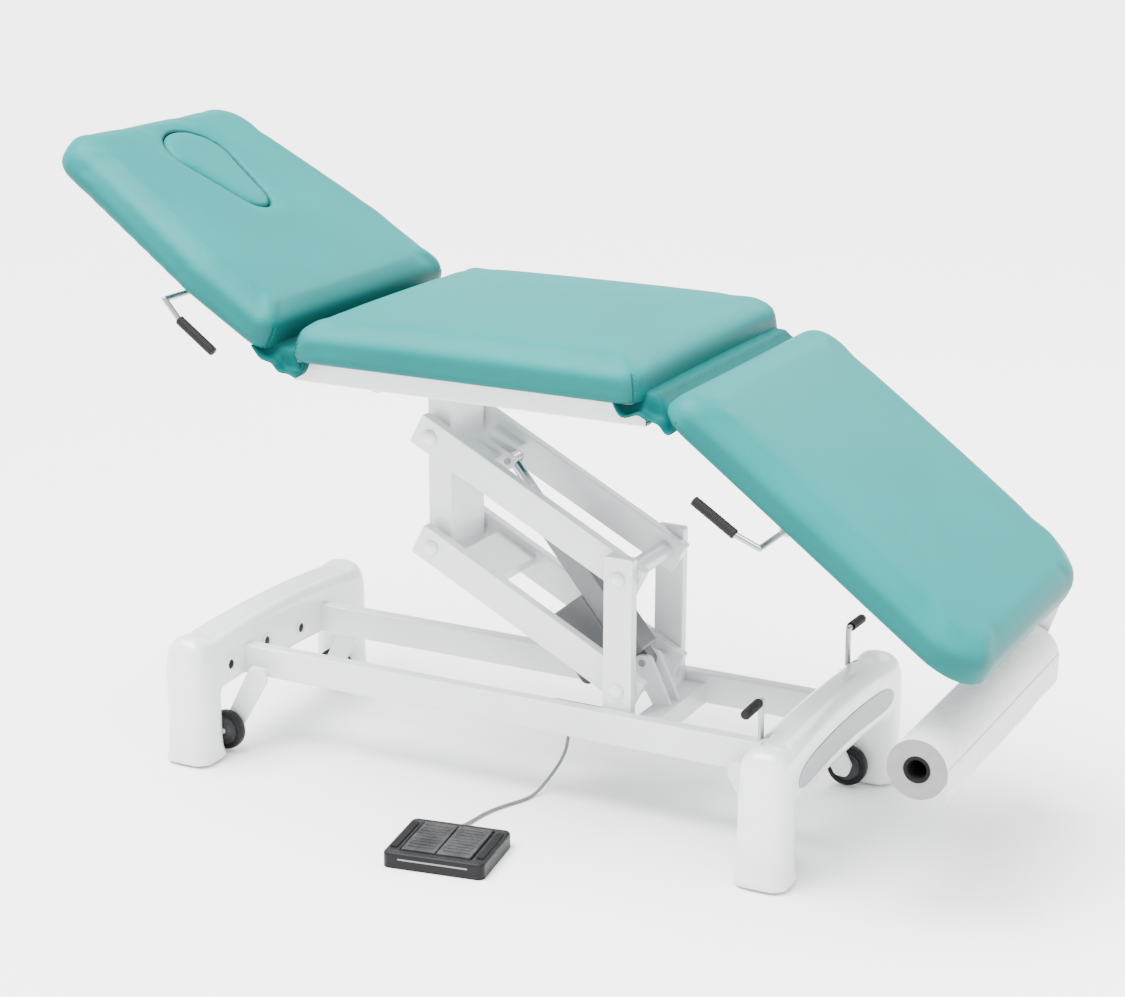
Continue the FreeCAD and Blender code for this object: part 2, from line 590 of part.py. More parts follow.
def lift_post():
    """The upright box that both pairs of arms carry, with the plate it is welded to."""
    middle = "((lift_post_low_z + frame_low_z - 8) / 2)"
    post = tube("Z", "lift_post_x", "lift_post_y", "frame_low_z - 8 - lift_post_low_z", "lift_post_wall",
                "rail_round", holes=(("0", f"low_pivot_z + {RISE} - {middle}", "pin_r + fit"),
                                     ("0", f"high_pivot_z + {RISE} - {middle}", "pin_r + fit")),
                at=(LIFTED_X, "0", middle))
    top = box((f"{LIFTED_X} - 90", f"{LIFTED_X} + 90"), ("-75", "75"), ("frame_low_z - 8", "frame_low_z"))
    node(fuse([post, top]), "lift_post")
    bolts = []
    bushes = []
    out = "(arm_inner_y + arm_thick)"
    for z in (f"low_pivot_z + {RISE}", f"high_pivot_z + {RISE}"):
        heads = [dome(LIFTED_X, z, f"({side}) * ({out} + 0.5)", int(side)) for side in ("-1", "1")]
        bolts.append(fuse([rod(LIFTED_X, z, (f"-({out} + 1)", f"{out} + 1"), "pin_r")] + heads))
        for side in ("-1", "1"):
            low, high = sorted_y(side, "lift_post_y / 2", "arm_inner_y - 0.5")
            bushes.append(cut(rod(LIFTED_X, z, (low, high), "bush_r"),
                              [rod(LIFTED_X, z, (low, high), "pin_r + fit")]))
    node(group(bolts), "carriage_bolts")
    node(group(bushes), "pivot_bushes")


# ---------------------------------------------------------------- table frame

def seat_frame():
    """Side tubes, cross tubes, hinge lugs and gas-spring brackets of the fixed middle section."""
    rail_tall = "(hinge_z + seat_rise - frame_low_z)"
    rail_mid_z = f"(frame_low_z + {rail_tall} / 2)"
    low_x, high_x = "(head_hinge_x + 16)", "(leg_hinge_x - 16)"
    parts = []
    for side in ("-1", "1"):
        parts.append(tube("X", "frame_wide", rail_tall, f"{high_x} - {low_x}", "tube_wall", "3",
                          at=(f"({low_x} + {high_x}) / 2", f"({side}) * (frame_in_y + frame_wide / 2)",
                              rail_mid_z)))
        for hinge, way in (("head_hinge_x", "1"), ("leg_hinge_x", "-1")):
            points = [(f"({way}) * 60", "-28"), (f"({way}) * 60", "seat_rise"), (f"({way}) * 25", "seat_rise"),
                      (f"({way}) * -13", "13"), (f"({way}) * -13", "-13")]
            parts.append(plate(points, "lug_thick", corners=((3, "10"), (4, "10")),
                               holes=(("0", "0", "hinge_pin_r + fit"),),
                               at=(hinge, f"({side}) * (frame_in_y - lug_thick / 2)", "hinge_z")))
    for x in (f"{LIFTED_X} - 90", f"{LIFTED_X} + 60", "head_hinge_x + 22", "leg_spring_x - 15"):
        parts.append(box((x, f"({x}) + 30"), ("-frame_in_y", "frame_in_y"), ("frame_low_z", "frame_low_z + 25")))
    for x, z, y in (("head_spring_x", "head_spring_z", "0"), ("leg_spring_x", "leg_spring_z", "leg_spring_y")):
        for side in ("-1", "1"):
            bracket = plate([("-14", "-12"), ("14", "-12"), ("18", f"frame_low_z - {z}"),
                             ("-18", f"frame_low_z - {z}")], "4", corners=((0, "10"), (1, "10")),
                            holes=(("0", "0", "spring_pin_r + fit"),), at=(x, f"{y} + ({side}) * 17", z))
            parts.append(bracket)
        parts.append(rod(x, z, (f"{y} - 22", f"{y} + 22"), "spring_pin_r"))
    node(group(parts), "seat_frame")


def hinge_pins():
    parts = []
    for hinge in ("head_hinge_x", "leg_hinge_x"):
        for side in ("-1", "1"):
            low, high = sorted_y(side, "section_in_y - 4", "frame_in_y - 0.5")
            parts.append(rod(hinge, "hinge_z", (low, high), "hinge_pin_r"))
    node(group(parts), "hinge_pins")


def section_frame(label, frame, way, end, rise, cross, spring_u, spring_w, spring_y, lever_u, lever_w):
    """Two side tubes and their cross tubes under a hinged section, with the gas spring's lugs."""
    parts = []
    length = f"({end} - 60 + section_drop)"
    for side in ("-1", "1"):
        body = new_body()
        start, stop = f"({way}) * -section_start", f"({way}) * ({end} - 60)"
        sketch = outline(body, "XZ_Plane", [(start, "-section_drop"), (stop, "-section_drop"),
                                            (stop, rise), (start, rise)])
        last = pad(body, sketch, "section_wide")
        last = fillet(body, last, runs_along("X"), "2.5")
        core = outline(body, "YZ_Plane", [
            ("-section_wide / 2 + tube_wall", "-section_drop + tube_wall"),
            ("section_wide / 2 - tube_wall", "-section_drop + tube_wall"),
            ("section_wide / 2 - tube_wall", f"{rise} - tube_wall"),
            ("-section_wide / 2 + tube_wall", f"{rise} - tube_wall")])
        pocket(body, core, f"2 * {length} + 60")
        pocket(body, rings(body, "XZ_Plane", (("0", "0", "hinge_pin_r + fit"),)), "section_wide * 2")
        frame.turned(body)
        frame.place(body, "0", f"({side}) * (section_in_y + section_wide / 2)", "0")
        parts.append(body)
    for u in cross:
        low, high = sorted_y(way, f"{u}", f"{u} + 25")
        parts.append(box((low, high), ("-section_in_y", "section_in_y"), (f"{rise} - 12", rise), frame))
    lever_x = f"({way}) * {lever_u}"
    for y in ("-(section_in_y + section_wide / 2)", "-156"):
        parts.append(plate([(f"{lever_x} - 12", "-section_drop"), (f"{lever_x} + 12", "-section_drop"),
                            (f"{lever_x} + 10", f"{lever_w} - 10"), (f"{lever_x} - 10", f"{lever_w} - 10")],
                           "4", corners=((2, "8"), (3, "8")), holes=((lever_x, lever_w, "lever_r + fit"),),
                           frame=frame, at=("0", y, "0")))
    parts.append(box((f"{lever_x} - 12", f"{lever_x} + 12"), ("-section_in_y", "-154"),
                     ("-section_drop", "-section_drop + 4"), frame))
    lug_u = f"({way}) * {spring_u}"
    for side in ("-1", "1"):
        parts.append(plate([(f"{lug_u} - 16", f"{rise} - {spring_w}"), (f"{lug_u} + 16", f"{rise} - {spring_w}"),
                            (f"{lug_u} + 12", "-12"), (f"{lug_u} - 12", "-12")], "4",
                           corners=((2, "9"), (3, "9")), holes=((lug_u, "0", "spring_pin_r + fit"),),
                           frame=frame, at=("0", f"{spring_y} + ({side}) * 12", spring_w)))
    parts.append(box((f"{lug_u} - 30", f"{lug_u} + 30"), (f"{spring_y} - 14", f"{spring_y} + 14"),
                     (f"{rise} - 3.5", rise), frame))
    parts.append(rod(lug_u, spring_w, (f"{spring_y} - 16", f"{spring_y} + 16"), "spring_pin_r", frame))
    node(group(parts), label)


def gas_spring(prefix, turn, x, z, y, way, top_x, top_z, rod_in):
    """A gas spring: its tube pinned to the fixed frame, its rod pinned to the moving section.

    way is the side of its lower pin it leans to: -1 towards the head end, 1 towards the foot end.
    """
    frame = Frame(x, y, z, turn)
    length = f"sqrt(({top_x} - ({x}))^2 + ({top_z} - ({z}))^2)"

    def bar(radius, far, long):
        """A round bar lying along the spring, from far back towards the lower pin."""
        thing = DOC.addObject("Part::Cylinder", "Bar")
        bind(thing, "Radius", radius)
        bind(thing, "Height", long)
        lay_along(thing, frame, way, far)
        return thing
    outer = bar("spring_r", "spring_tube_end", "spring_tube_end - 16")
    eye = rod("0", "0", ("-9", "9"), "10", frame)
    neck = bar("6", "20", "14")
    bore = bar("spring_bore_r", "spring_tube_end + 5", "spring_tube_end - 20")
    hole = rod("0", "0", ("-20", "20"), "spring_pin_r + fit", frame)
    node(cut(fuse([outer, eye, neck]), [bore, hole]), prefix + "_spring_tube")
    stem = bar("spring_rod_r", f"({length}) - 6", f"{rod_in} - 6")
    tip = rod(f"({way}) * ({length})", "0", ("-9", "9"), "10", frame)
    hole = rod(f"({way}) * ({length})", "0", ("-20", "20"), "spring_pin_r + fit", frame)
    node(cut(fuse([stem, tip]), [hole]), prefix + "_spring_rod")


def lay_along(thing, frame, way, far):
    """Lay a cylinder along a turned frame's X axis: it begins at far and runs back to the origin."""
    thing.Placement.Rotation = FreeCAD.Rotation(V(0, 1, 0), 1)
    bind(thing, "Placement.Rotation.Angle", f"({frame.turn} - ({way}) * 90) * 1 deg")
    frame.place(thing, f"({way}) * ({far})", "0", "0")


# ---------------------------------------------------------------- upholstery

def cushion(points, low, high, corners, frame=TABLE, at=("0", "0", "0"), inset="0", edge="pad_edge",
            bottom="3"):
    """A board or pad: an outline on the XY plane between two heights, rounded at the top edge."""
    body = new_body()
    sketch = outline(body, "XY_Plane", points)
    bind(sketch, "AttachmentOffset.Base.z", low)
    last = pad(body, sketch, f"({high}) - ({low})", both_ways=False)
    for index, radius in corners:
        spot = sketch.Geometry[index].StartPoint

        def at_corner(line):
            middle = line.CenterOfMass
            return runs_along("Z")(line) and V(middle.x - spot.x, middle.y - spot.y, 0).Length < 1e-3
        last = fillet(body, last, at_corner, f"({radius}) - ({inset})")
    if edge:
        top = max(v.Z for v in last.Shape.Vertexes)
        last = fillet(body, last, lambda line: line.BoundBox.ZMin > top - 1e-3, edge)
    frame.turned(body)
    frame.place(body, *at)
    return body


def oblong(low_x, high_x, half_y):
    return [(low_x, f"-({half_y})"), (high_x, f"-({half_y})"), (high_x, half_y), (low_x, half_y)]


def head_outline(inset):
    start, end = f"-(head_start + {inset})", f"-(head_end - {inset})"
    wide, narrow = f"(pad_half_y - {inset})", f"(head_end_half_y - {inset})"
    return [(start, f"-{wide}"), ("-head_taper_start", f"-{wide}"), ("-head_taper_end", f"-{narrow}"),
            (end, f"-{narrow}"), (end, narrow), ("-head_taper_end", narrow), ("-head_taper_start", wide),
            (start, wide)]


def seat_section():
    low = "hinge_z + seat_rise"
    corners = [(i, "seat_corner") for i in range(4)]
    inner = oblong("seat_low_x + board_inset", "seat_high_x - board_inset", "pad_half_y - board_inset")
    board = cushion(inner, low, f"{low} + board_thick", corners, inset="board_inset", edge=None)
    node(board, "seat_board")
    node(cushion(oblong("seat_low_x", "seat_high_x", "pad_half_y"), f"{low} + board_thick",
                 "hinge_z + seat_top", corners), "seat_pad")


def teardrop(grow, low, high):
    """A prism with one wide and one narrow round end, across the head pad."""
    body = new_body()
    sketch = new_sketch(body, "XY_Plane")
    bind(sketch, "AttachmentOffset.Base.z", low)
    wide, narrow = size("plug_wide") / 2 + grow, size("plug_narrow") / 2 + grow
    reach = size("plug_long") / 2 + grow
    head_x = -size("plug_mid") - reach + wide
    foot_x = -size("plug_mid") + reach - narrow
    lean = math.asin((wide - narrow) / (foot_x - head_x))
    normal = V(math.sin(lean), math.cos(lean), 0)
    head, foot = V(head_x, 0, 0), V(foot_x, 0, 0)
    below = V(normal.x, -normal.y, 0)
    sketch.addGeometry(Part.Arc(head + normal * wide, head - V(wide, 0, 0), head + below * wide), False)
    sketch.addGeometry(Part.LineSegment(head + below * wide, foot + below * narrow), False)
    sketch.addGeometry(Part.Arc(foot + below * narrow, foot + V(narrow, 0, 0), foot + normal * narrow), False)
    sketch.addGeometry(Part.LineSegment(foot + normal * narrow, head + normal * wide), False)
    pad(body, sketch, f"({high}) - ({low})", both_ways=False)
    HEAD.turned(body)
    HEAD.place(body)
    return body


def head_section():
    middle = "head_rise + board_thick"
    board = cushion(head_outline("board_inset"), "head_rise", middle,
                    ((3, "head_corner"), (4, "head_corner")), HEAD, inset="board_inset", edge=None)
    node(cut(board, [teardrop(size("plug_gap"), "0", middle + " + 5")]), "head_board")
    upholstery = cushion(head_outline("0"), middle, "head_top",
                         ((3, "head_corner"), (4, "head_corner"), (0, "seat_corner"), (7, "seat_corner")),
                         HEAD)
    node(cut(upholstery, [teardrop(size("plug_gap"), "10", "head_top + 10")]), "head_pad")
    node(teardrop(0, "head_rise", "head_top"), "face_plug")


def leg_section():
    middle = "leg_rise + board_thick"
    foot, hinge = "leg_foot_corner", "leg_hinge_corner"
    corners = ((0, hinge), (1, foot), (2, foot), (3, hinge))
    inner = oblong("leg_start + board_inset", "leg_end - board_inset", "pad_half_y - board_inset")
    node(cushion(inner, "leg_rise", middle, corners, LEG, inset="board_inset", edge=None), "leg_board")
    node(cushion(oblong("leg_start", "leg_end", "pad_half_y"), middle, "leg_top", corners, LEG), "leg_pad")


def strip(points, low_y, high_y, thick):
    """A thin folded sheet: a polyline in XZ given as points, thickened downwards, between two Ys."""
    lower = [(x, f"({z}) - {thick}") for x, z in reversed(points)]
    body = new_body()
    sketch = outline(body, "XZ_Plane", list(points) + lower)
    pad(body, sketch, f"({high_y}) - ({low_y})")
    TABLE.place(body, "0", f"(({low_y}) + ({high_y})) / 2", "0")
    return body


def gap_covers():
    """Upholstery cloth across the two hinges: flat between the frames, sagging outside them."""
    for label, hinge, way, rise in (("gap_cover_head", "head_hinge_x", "-1", "22"),
                                    ("gap_cover_leg", "leg_hinge_x", "1", "23.5")):
        start = "seat_low_x - 1" if way == "-1" else "seat_high_x + 1"
        stop = f"{hinge} + ({way}) * 13"
        flat = [(start, "hinge_z + 23.5"), (stop, f"hinge_z + {rise}")]
        sag = [(f"{hinge} - ({way}) * 58", "hinge_z + 3"), (f"{hinge} - ({way}) * 30", "hinge_z - 14"),
               (f"{hinge} + ({way}) * 4", "hinge_z - 6"), (f"{hinge} + ({way}) * 34", "hinge_z - 16")]
        outer = "frame_in_y + frame_wide + 2"
        parts = [strip(flat, "-300", "300", "2.5")]
        for side in ("-1", "1"):
            low, high = sorted_y(side, outer, "pad_half_y - 5")
            parts.append(strip(sag, low, high, "2.5"))
        node(group(parts), label)


# ---------------------------------------------------------------- levers

def bent_bar(points, radius):
    """A round bar through the given points, with a ball at each bend; a shape, not an object."""
    solids = []
    for start, end in zip(points, points[1:]):
        solids.append(Part.makeCylinder(radius, (end - start).Length, start, end - start))
    for corner in points[1:-1]:
        solids.append(Part.makeSphere(radius, corner))
    whole = solids[0]
    for solid in solids[1:]:
        whole = whole.fuse(solid)
    return whole.removeSplitter()


def section_point(section, u, y, w):
    """A point given along, across and above a hinged section, in the table's frame."""
    if section == "head":
        turn = math.radians(size("head_tilt"))
        return V(size("head_hinge_x") - u * math.cos(turn) + w * math.sin(turn), y,
                 size("hinge_z") + u * math.sin(turn) + w * math.cos(turn))
    turn = math.radians(size("leg_tilt"))
    return V(size("leg_hinge_x") + u * math.cos(turn) + w * math.sin(turn), y,
             size("hinge_z") - u * math.sin(turn) + w * math.cos(turn))


def release_lever(section):
    """The hand lever that unlocks a section's gas spring: a cross rod, a bend and a grip sleeve."""
    u, w = size(section + "_lever_u"), size(section + "_lever_w")
    start, end = size(section + "_grip_start"), size(section + "_grip_end")
    grip_w, y = size(section + "_grip_w"), -size("lever_y")
    turned = section_point(section, u, y, w)
    grip_in = section_point(section, start, y, w + (grip_w - w) * 0.7)
    grip_out = section_point(section, end, y, grip_w)
    bar = bent_bar([section_point(section, u, -150, w), turned, grip_in, grip_out], size("lever_r"))
    sleeve = Part.makeCylinder(size("grip_r"), (grip_out - grip_in).Length + 4, grip_in, grip_out - grip_in)
    sleeve = sleeve.cut(bar)
    lever = DOC.addObject("Part::Feature", "Lever")
    lever.Shape = Part.makeCompound([bar, sleeve])
    node(lever, section + "_lever")


def caster_levers():
    """Foot levers standing up out of the foot-end cover, one for each side's pair of casters."""
    for label, side in (("caster_lever_near", -1), ("caster_lever_far", 1)):
        x, y, low, high = size("step_x"), side * size("step_y"), size("step_z"), size("step_top_z")
        out = side * size("step_out_y")
        hub = Part.makeCylinder(8, 16, V(x, y - 8, low), V(0, 1, 0))
        bar = bent_bar([V(x, y, low), V(x - 8, y, low + 20), V(x - 9, y, high), V(x - 9, out, high - 2)], 5)
        bar = bar.fuse(hub).cut(Part.makeCylinder(4 + size("fit"), 40, V(x, y - 20, low), V(0, 1, 0)))
        sleeve = Part.makeCylinder(7.5, size("step_out_y") - size("step_y") - 8,
                                   V(x - 9, y + side * 12, high - 0.4), V(0, side, -0.03))
        lever = DOC.addObject("Part::Feature", "FootLever")
        lever.Shape = Part.makeCompound([bar.removeSplitter(), sleeve.cut(bar)])
        node(lever, label)


# ---------------------------------------------------------------- casters

def casters():
    """Four wheels on swing arms, each pivoted on the outside of a base rail."""
    for end_name, end in (("head", "-1"), ("foot", "1")):
        pivot = (f"base_mid_x + ({end}) * caster_pivot_x", "caster_pivot_z")
        axle = (f"base_mid_x + ({end}) * caster_axle_x", "caster_axle_z")
        for side_name, side in (("near", "-1"), ("far", "1")):
            low, high = sorted_y(side, "caster_arm_y", "caster_arm_y + caster_arm_thick")
            reach = "(caster_axle_x - caster_pivot_x)"
            drop = "(caster_pivot_z - caster_axle_z)"
            arm = plate([("-17", "15"), ("15", "17"), (f"{reach} + 16", f"-{drop} + 8"),
                         (f"{reach} + 8", f"-{drop} - 15"), (f"{reach} - 15", f"-{drop} - 13"), ("-18", "-10")],
                        "caster_arm_thick", soft="1", corners=[(i, "10") for i in range(6)],
                        holes=(("0", "0", "caster_axle_r + 1 + fit"),))
            if end == "-1":
                arm.Placement.Rotation = FreeCAD.Rotation(V(0, 0, 1), 180)
            TABLE.place(arm, pivot[0], f"(({low}) + ({high})) / 2", pivot[1])
            low, high = sorted_y(side, "caster_arm_y + 4", "caster_mid_y + caster_wide / 2 + 5")
            stub = rod(axle[0], axle[1], (low, high), "caster_axle_r")
            node(fuse([arm, stub]), f"caster_arm_{side_name}_{end_name}")
            wheel = new_body()
            bore, rim, half = "(caster_axle_r + fit)", "caster_r", "(caster_wide / 2)"
            profile = outline(wheel, "YZ_Plane", [(f"-{half}", bore), (half, bore), (half, rim), (f"-{half}", rim)])
            turned = wheel.newObject("PartDesign::Revolution", "Revolution")
            turned.Profile = profile
            turned.ReferenceAxis = (profile, ["H_Axis"])
            turned.Angle = 360
            DOC.recompute()
            fillet(wheel, turned, lambda edge: edge.BoundBox.ZLength > 2 * size("caster_r") - 1, "4")
            TABLE.place(wheel, axle[0], f"({side}) * caster_mid_y", axle[1])
            node(wheel, f"caster_wheel_{side_name}_{end_name}")


# ---------------------------------------------------------------- paper roll

def paper_roll():
    """Holder arm and bar on the leg section, the hollow roll, and the loose end of its paper."""
    far = "roll_arm_y"
    turn = "(leg_tilt)"
    roll_x = f"(leg_hinge_x + roll_u * cos{turn} + roll_w * sin{turn})"
    roll_z = f"(hinge_z - roll_u * sin{turn} + roll_w * cos{turn})"
    half, low_w = "(roll_arm_wide / 2)", "(strap_w - strap_tall)"
    arm = plate([("leg_end - 95", low_w), ("leg_end - 34", low_w), (f"roll_u - {half}", "roll_w + 6"),
                 (f"roll_u - {half}", f"roll_w - {half}"), (f"roll_u + {half}", f"roll_w - {half}"),
                 (f"roll_u + {half}", "roll_w + 6"), ("leg_end - 12", "strap_w"), ("leg_end - 95", "strap_w")],
                "roll_arm_thick", frame=LEG, at=("0", f"{far} + roll_arm_thick / 2", "0"))
    tie = box(("leg_end - 95", "leg_end - 73"), ("section_in_y", f"{far} + 1"),
              ("strap_w - 19", "strap_w - 11.6"), LEG)
    bar = rod("roll_u", "roll_w", ("-(roll_half_y - roll_bar_short)", f"{far} + 1"), "roll_bar_r", LEG)
    node(fuse([arm, tie, bar]), "roll_holder")
    ends = ("-roll_half_y", "roll_half_y")
    roll = cut(rod("roll_u", "roll_w", ends, "roll_r", LEG), [rod("roll_u", "roll_w", ends, "core_r", LEG)])
    node(roll, "paper_roll")
    outside = f"({roll_x} + roll_r)"
    tail = box((outside, f"{outside} + tail_thick"), ends, (f"{roll_z} - tail_drop", roll_z))
    node(tail, "paper_tail")


# ---------------------------------------------------------------- foot switch and its cable

def rocker_pin(radius):
    """A thin bar along the foot switch, near its back, on which both rockers turn."""
    pin = DOC.addObject("Part::Cylinder", "Pin")
    bind(pin, "Radius", radius)
    bind(pin, "Height", "2 * rocker_long + 8")
    pin.Placement.Rotation = FreeCAD.Rotation(V(0, 0, 1), size("switch_turn")).multiply(
        FreeCAD.Rotation(V(0, 1, 0), 90))
    SWITCH.place(pin, "-(rocker_long + 4)", "rocker_pin_y", "rocker_pin_z")
    return pin


def foot_switch():
    half_x, half_y = "(switch_long / 2)", "(switch_deep / 2)"
    body = new_body()
    sketch = outline(body, "XY_Plane", oblong(f"-{half_x}", half_x, half_y))
    last = pad(body, sketch, "switch_tall", both_ways=False)
    last = fillet(body, last, runs_along("Z"), "12")
    top = size("switch_tall")
    last = fillet(body, last, lambda edge: edge.BoundBox.ZMin > top - 1e-3, "5")
    well = outline(body, "XY_Plane", oblong("-(rocker_long + 3)", "rocker_long + 3", "rocker_deep / 2 + 2"))
    bind(well, "AttachmentOffset.Base.z", "rocker_low_z - 9")
    pocket(body, well, "switch_tall", both_ways=False, reversed_way=True)
    SWITCH.turned(body)
    SWITCH.place(body)
    strips = [box((f"({side}) * 77 - 6", f"({side}) * 77 + 6"), ("-52", "52"), ("switch_tall", "switch_tall + 2"),
                  SWITCH) for side in ("-1", "1")]
    boss = DOC.addObject("Part::Cylinder", "Boss")
    bind(boss, "Radius", "boss_r")
    bind(boss, "Height", "boss_long + 6")
    boss.Placement.Rotation = FreeCAD.Rotation(V(0, 0, 1), size("switch_turn")).multiply(
        FreeCAD.Rotation(V(1, 0, 0), -90))
    SWITCH.place(boss, "-16", "switch_deep / 2 - 6", "boss_z")
    node(fuse([body, boss, rocker_pin("rocker_pin_r")]), "foot_switch_body")
    node(group(strips), "foot_switch_strips")
    for label, side in (("foot_pad_down", "-1"), ("foot_pad_up", "1")):
        low, high = sorted_y(side, "1", "rocker_long")
        rocker = cushion(oblong(low, high, "rocker_deep / 2"), "rocker_low_z", "rocker_low_z + rocker_tall",
                         (), SWITCH, edge="2.5")
        node(cut(rocker, [rocker_pin("rocker_pin_r + fit")]), label)


# Centre line of the foot switch's cable, from the gland under the control box to the switch's boss.
CABLE_ROUTE = [(57, -65, 127), (56, -65, 98), (49, -67, 69), (35, -73, 41), (21, -88, 17), (14, -113, 3.2),
               (7, -146, 3.2), (-11, -182, 3.2), (-25, -225, 3.2), (-29, -266, 3.2), (-29, -294, 6.5),
               (-26.98, -319.22, 12)]


def tube_path(points):
    """Straight runs joined by tangent arcs, each as large as its two runs allow."""
    edges = []
    radii = []
    here = points[0]
    for before, corner, after in zip(points, points[1:], points[2:]):
        back, on = before - corner, after - corner
        shorter = min(back.Length, on.Length)
        back.normalize()
        on.normalize()
        half_turn = (math.pi - back.getAngle(on)) / 2
        setback = 0.45 * shorter
        radius = setback / math.tan(half_turn)
        first, last = corner + back * setback, corner + on * setback
        bisector = back + on
        bisector.normalize()
        centre = corner + bisector * math.hypot(radius, setback)
        middle = centre - bisector * radius
        edges.append(Part.LineSegment(here, first).toShape())
        edges.append(Part.Arc(first, middle, last).toShape())
        radii.append(radius)
        here = last
    edges.append(Part.LineSegment(here, points[-1]).toShape())
    return Part.Wire(edges), radii


def foot_cable():
    path, radii = tube_path([V(*point) for point in CABLE_ROUTE])
    start = V(*CABLE_ROUTE[0])
    direction = V(*CABLE_ROUTE[1]) - start
    ring = Part.Wire([Part.Circle(start, direction, size("cable_r")).toShape()])
    solid = path.makePipeShell([ring], True, True)
    cable = DOC.addObject("Part::Feature", "Cable")
    cable.Shape = solid
    node(cable, "foot_cable")
    expected = math.pi * size("cable_r") ** 2 * path.Length
    print("cable length %.1f, tube volume %.0f, section x length %.0f" % (path.Length, solid.Volume, expected))
    print("cable radii", [round(radius) for radius in radii])


# ---------------------------------------------------------------- whole table

def build():
    base_rails()
    end_frames()
    foot_pads()
    spans = [end_cover("cover_head_end", "-1")[1], end_cover("cover_foot_end", "1")[1]]
    cover_insets(spans)
    base_posts()
    lift_crossbeam()
    base_pivot_bolts()
    control_box()
    lift_arms()
    actuator()
    lift_post()
    seat_frame()
    hinge_pins()
    seat_section()
    section_frame("head_frame", HEAD, "-1", "head_end", "head_rise", ("80", "300", "500"), "head_spring_u",
                  "head_spring_w", "0", "head_lever_u", "head_lever_w")
    section_frame("leg_frame", LEG, "1", "leg_end", "leg_rise", ("80", "330", "575"), "leg_spring_u",
                  "leg_spring_w", "leg_spring_y", "leg_lever_u", "leg_lever_w")
    head_section()
    leg_section()
    gas_spring("head", HEAD_SPRING_TURN, "head_spring_x", "head_spring_z", "0", "-1", HEAD_ROD_X,
               HEAD_ROD_Z, "head_rod_in")
    gas_spring("leg", LEG_SPRING_TURN, "leg_spring_x", "leg_spring_z", "leg_spring_y", "1", LEG_ROD_X,
               LEG_ROD_Z, "leg_rod_in")
    gap_covers()
    release_lever("head")
    release_lever("leg")
    caster_levers()
    casters()
    paper_roll()
    foot_switch()
    foot_cable()


def write():
    """Check that every object and every sub-part is sound, then write the sub-parts."""
    DOC.recompute()
    for thing in DOC.Objects:
        if "Invalid" in thing.State or "Error" in thing.State:
            raise RuntimeError(f"{thing.Name} ({thing.Label}) is {thing.State}")
    labels = [thing.Label for thing in NODES]
    if len(set(labels)) != len(labels):
        raise RuntimeError("two sub-parts share a label")
    os.makedirs("parts", exist_ok=True)
    for thing in NODES:
        if thing.Shape.isNull() or not thing.Shape.isValid():
            raise RuntimeError(f"{thing.Label} has no valid shape")
        thing.Shape.exportStep(f"parts/{thing.Label}.step")
    print(len(NODES), "sub-parts written")


build()
write()
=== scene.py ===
"""Looks of the height-adjustable exam table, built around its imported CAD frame. Metres, +Z up."""
import json
import math

import bmesh
import bpy
from mathutils import Matrix, Vector
from mathutils.bvhtree import BVHTree


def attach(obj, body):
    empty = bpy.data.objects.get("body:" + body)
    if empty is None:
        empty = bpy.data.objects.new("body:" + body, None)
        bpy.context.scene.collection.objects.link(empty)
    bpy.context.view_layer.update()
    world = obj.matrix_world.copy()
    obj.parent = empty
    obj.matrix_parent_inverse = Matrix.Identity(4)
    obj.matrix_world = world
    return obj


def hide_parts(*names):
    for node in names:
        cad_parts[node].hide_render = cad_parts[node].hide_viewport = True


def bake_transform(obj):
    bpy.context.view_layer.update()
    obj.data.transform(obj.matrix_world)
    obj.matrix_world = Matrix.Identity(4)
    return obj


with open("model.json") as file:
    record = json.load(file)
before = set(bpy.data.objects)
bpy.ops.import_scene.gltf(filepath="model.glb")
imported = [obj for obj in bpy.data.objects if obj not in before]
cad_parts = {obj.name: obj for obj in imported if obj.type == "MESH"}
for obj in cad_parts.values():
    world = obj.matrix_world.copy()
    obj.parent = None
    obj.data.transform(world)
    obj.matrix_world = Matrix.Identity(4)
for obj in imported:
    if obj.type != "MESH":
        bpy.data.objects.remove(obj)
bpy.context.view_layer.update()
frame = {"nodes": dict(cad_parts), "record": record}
NODES = frame["nodes"]

HEAD_HINGE = Vector((-0.392, 0, 0.790))
LEG_HINGE = Vector((0.309, 0, 0.790))
HEAD_TILT = math.radians(31.2)
LEG_TILT = math.radians(36.5)
ROLL_AXIS = Vector((0.78625, 0, 0.27326))


# ---------------------------------------------------------------- camera and cable

def add_camera():
    """The camera at the viewing angle of the picture this model follows."""
    data = bpy.data.cameras.new("camera")
    data.lens = 78.3
    data.sensor_width = 36
    camera = bpy.data.objects.new("camera", data)
    camera.location = (1.906, -3.700, 1.758)
    camera.rotation_euler = (math.radians(73.5), math.radians(-0.25), math.radians(27.22))
    bpy.context.collection.objects.link(camera)
    bpy.context.scene.camera = camera


# The cable's centre line, in millimetres: gland, floor, and the boss on the back of the foot switch.
CABLE_ROUTE = [(57, -65, 127), (56, -65, 98), (49, -67, 69), (35, -73, 41), (21, -88, 17), (14, -113, 3.2),
               (7, -146, 3.2), (-11, -182, 3.2), (-25, -225, 3.2), (-29, -266, 3.2), (-29, -294, 6.5),
               (-26.98, -319.22, 12)]
CABLE_RADIUS = 0.003


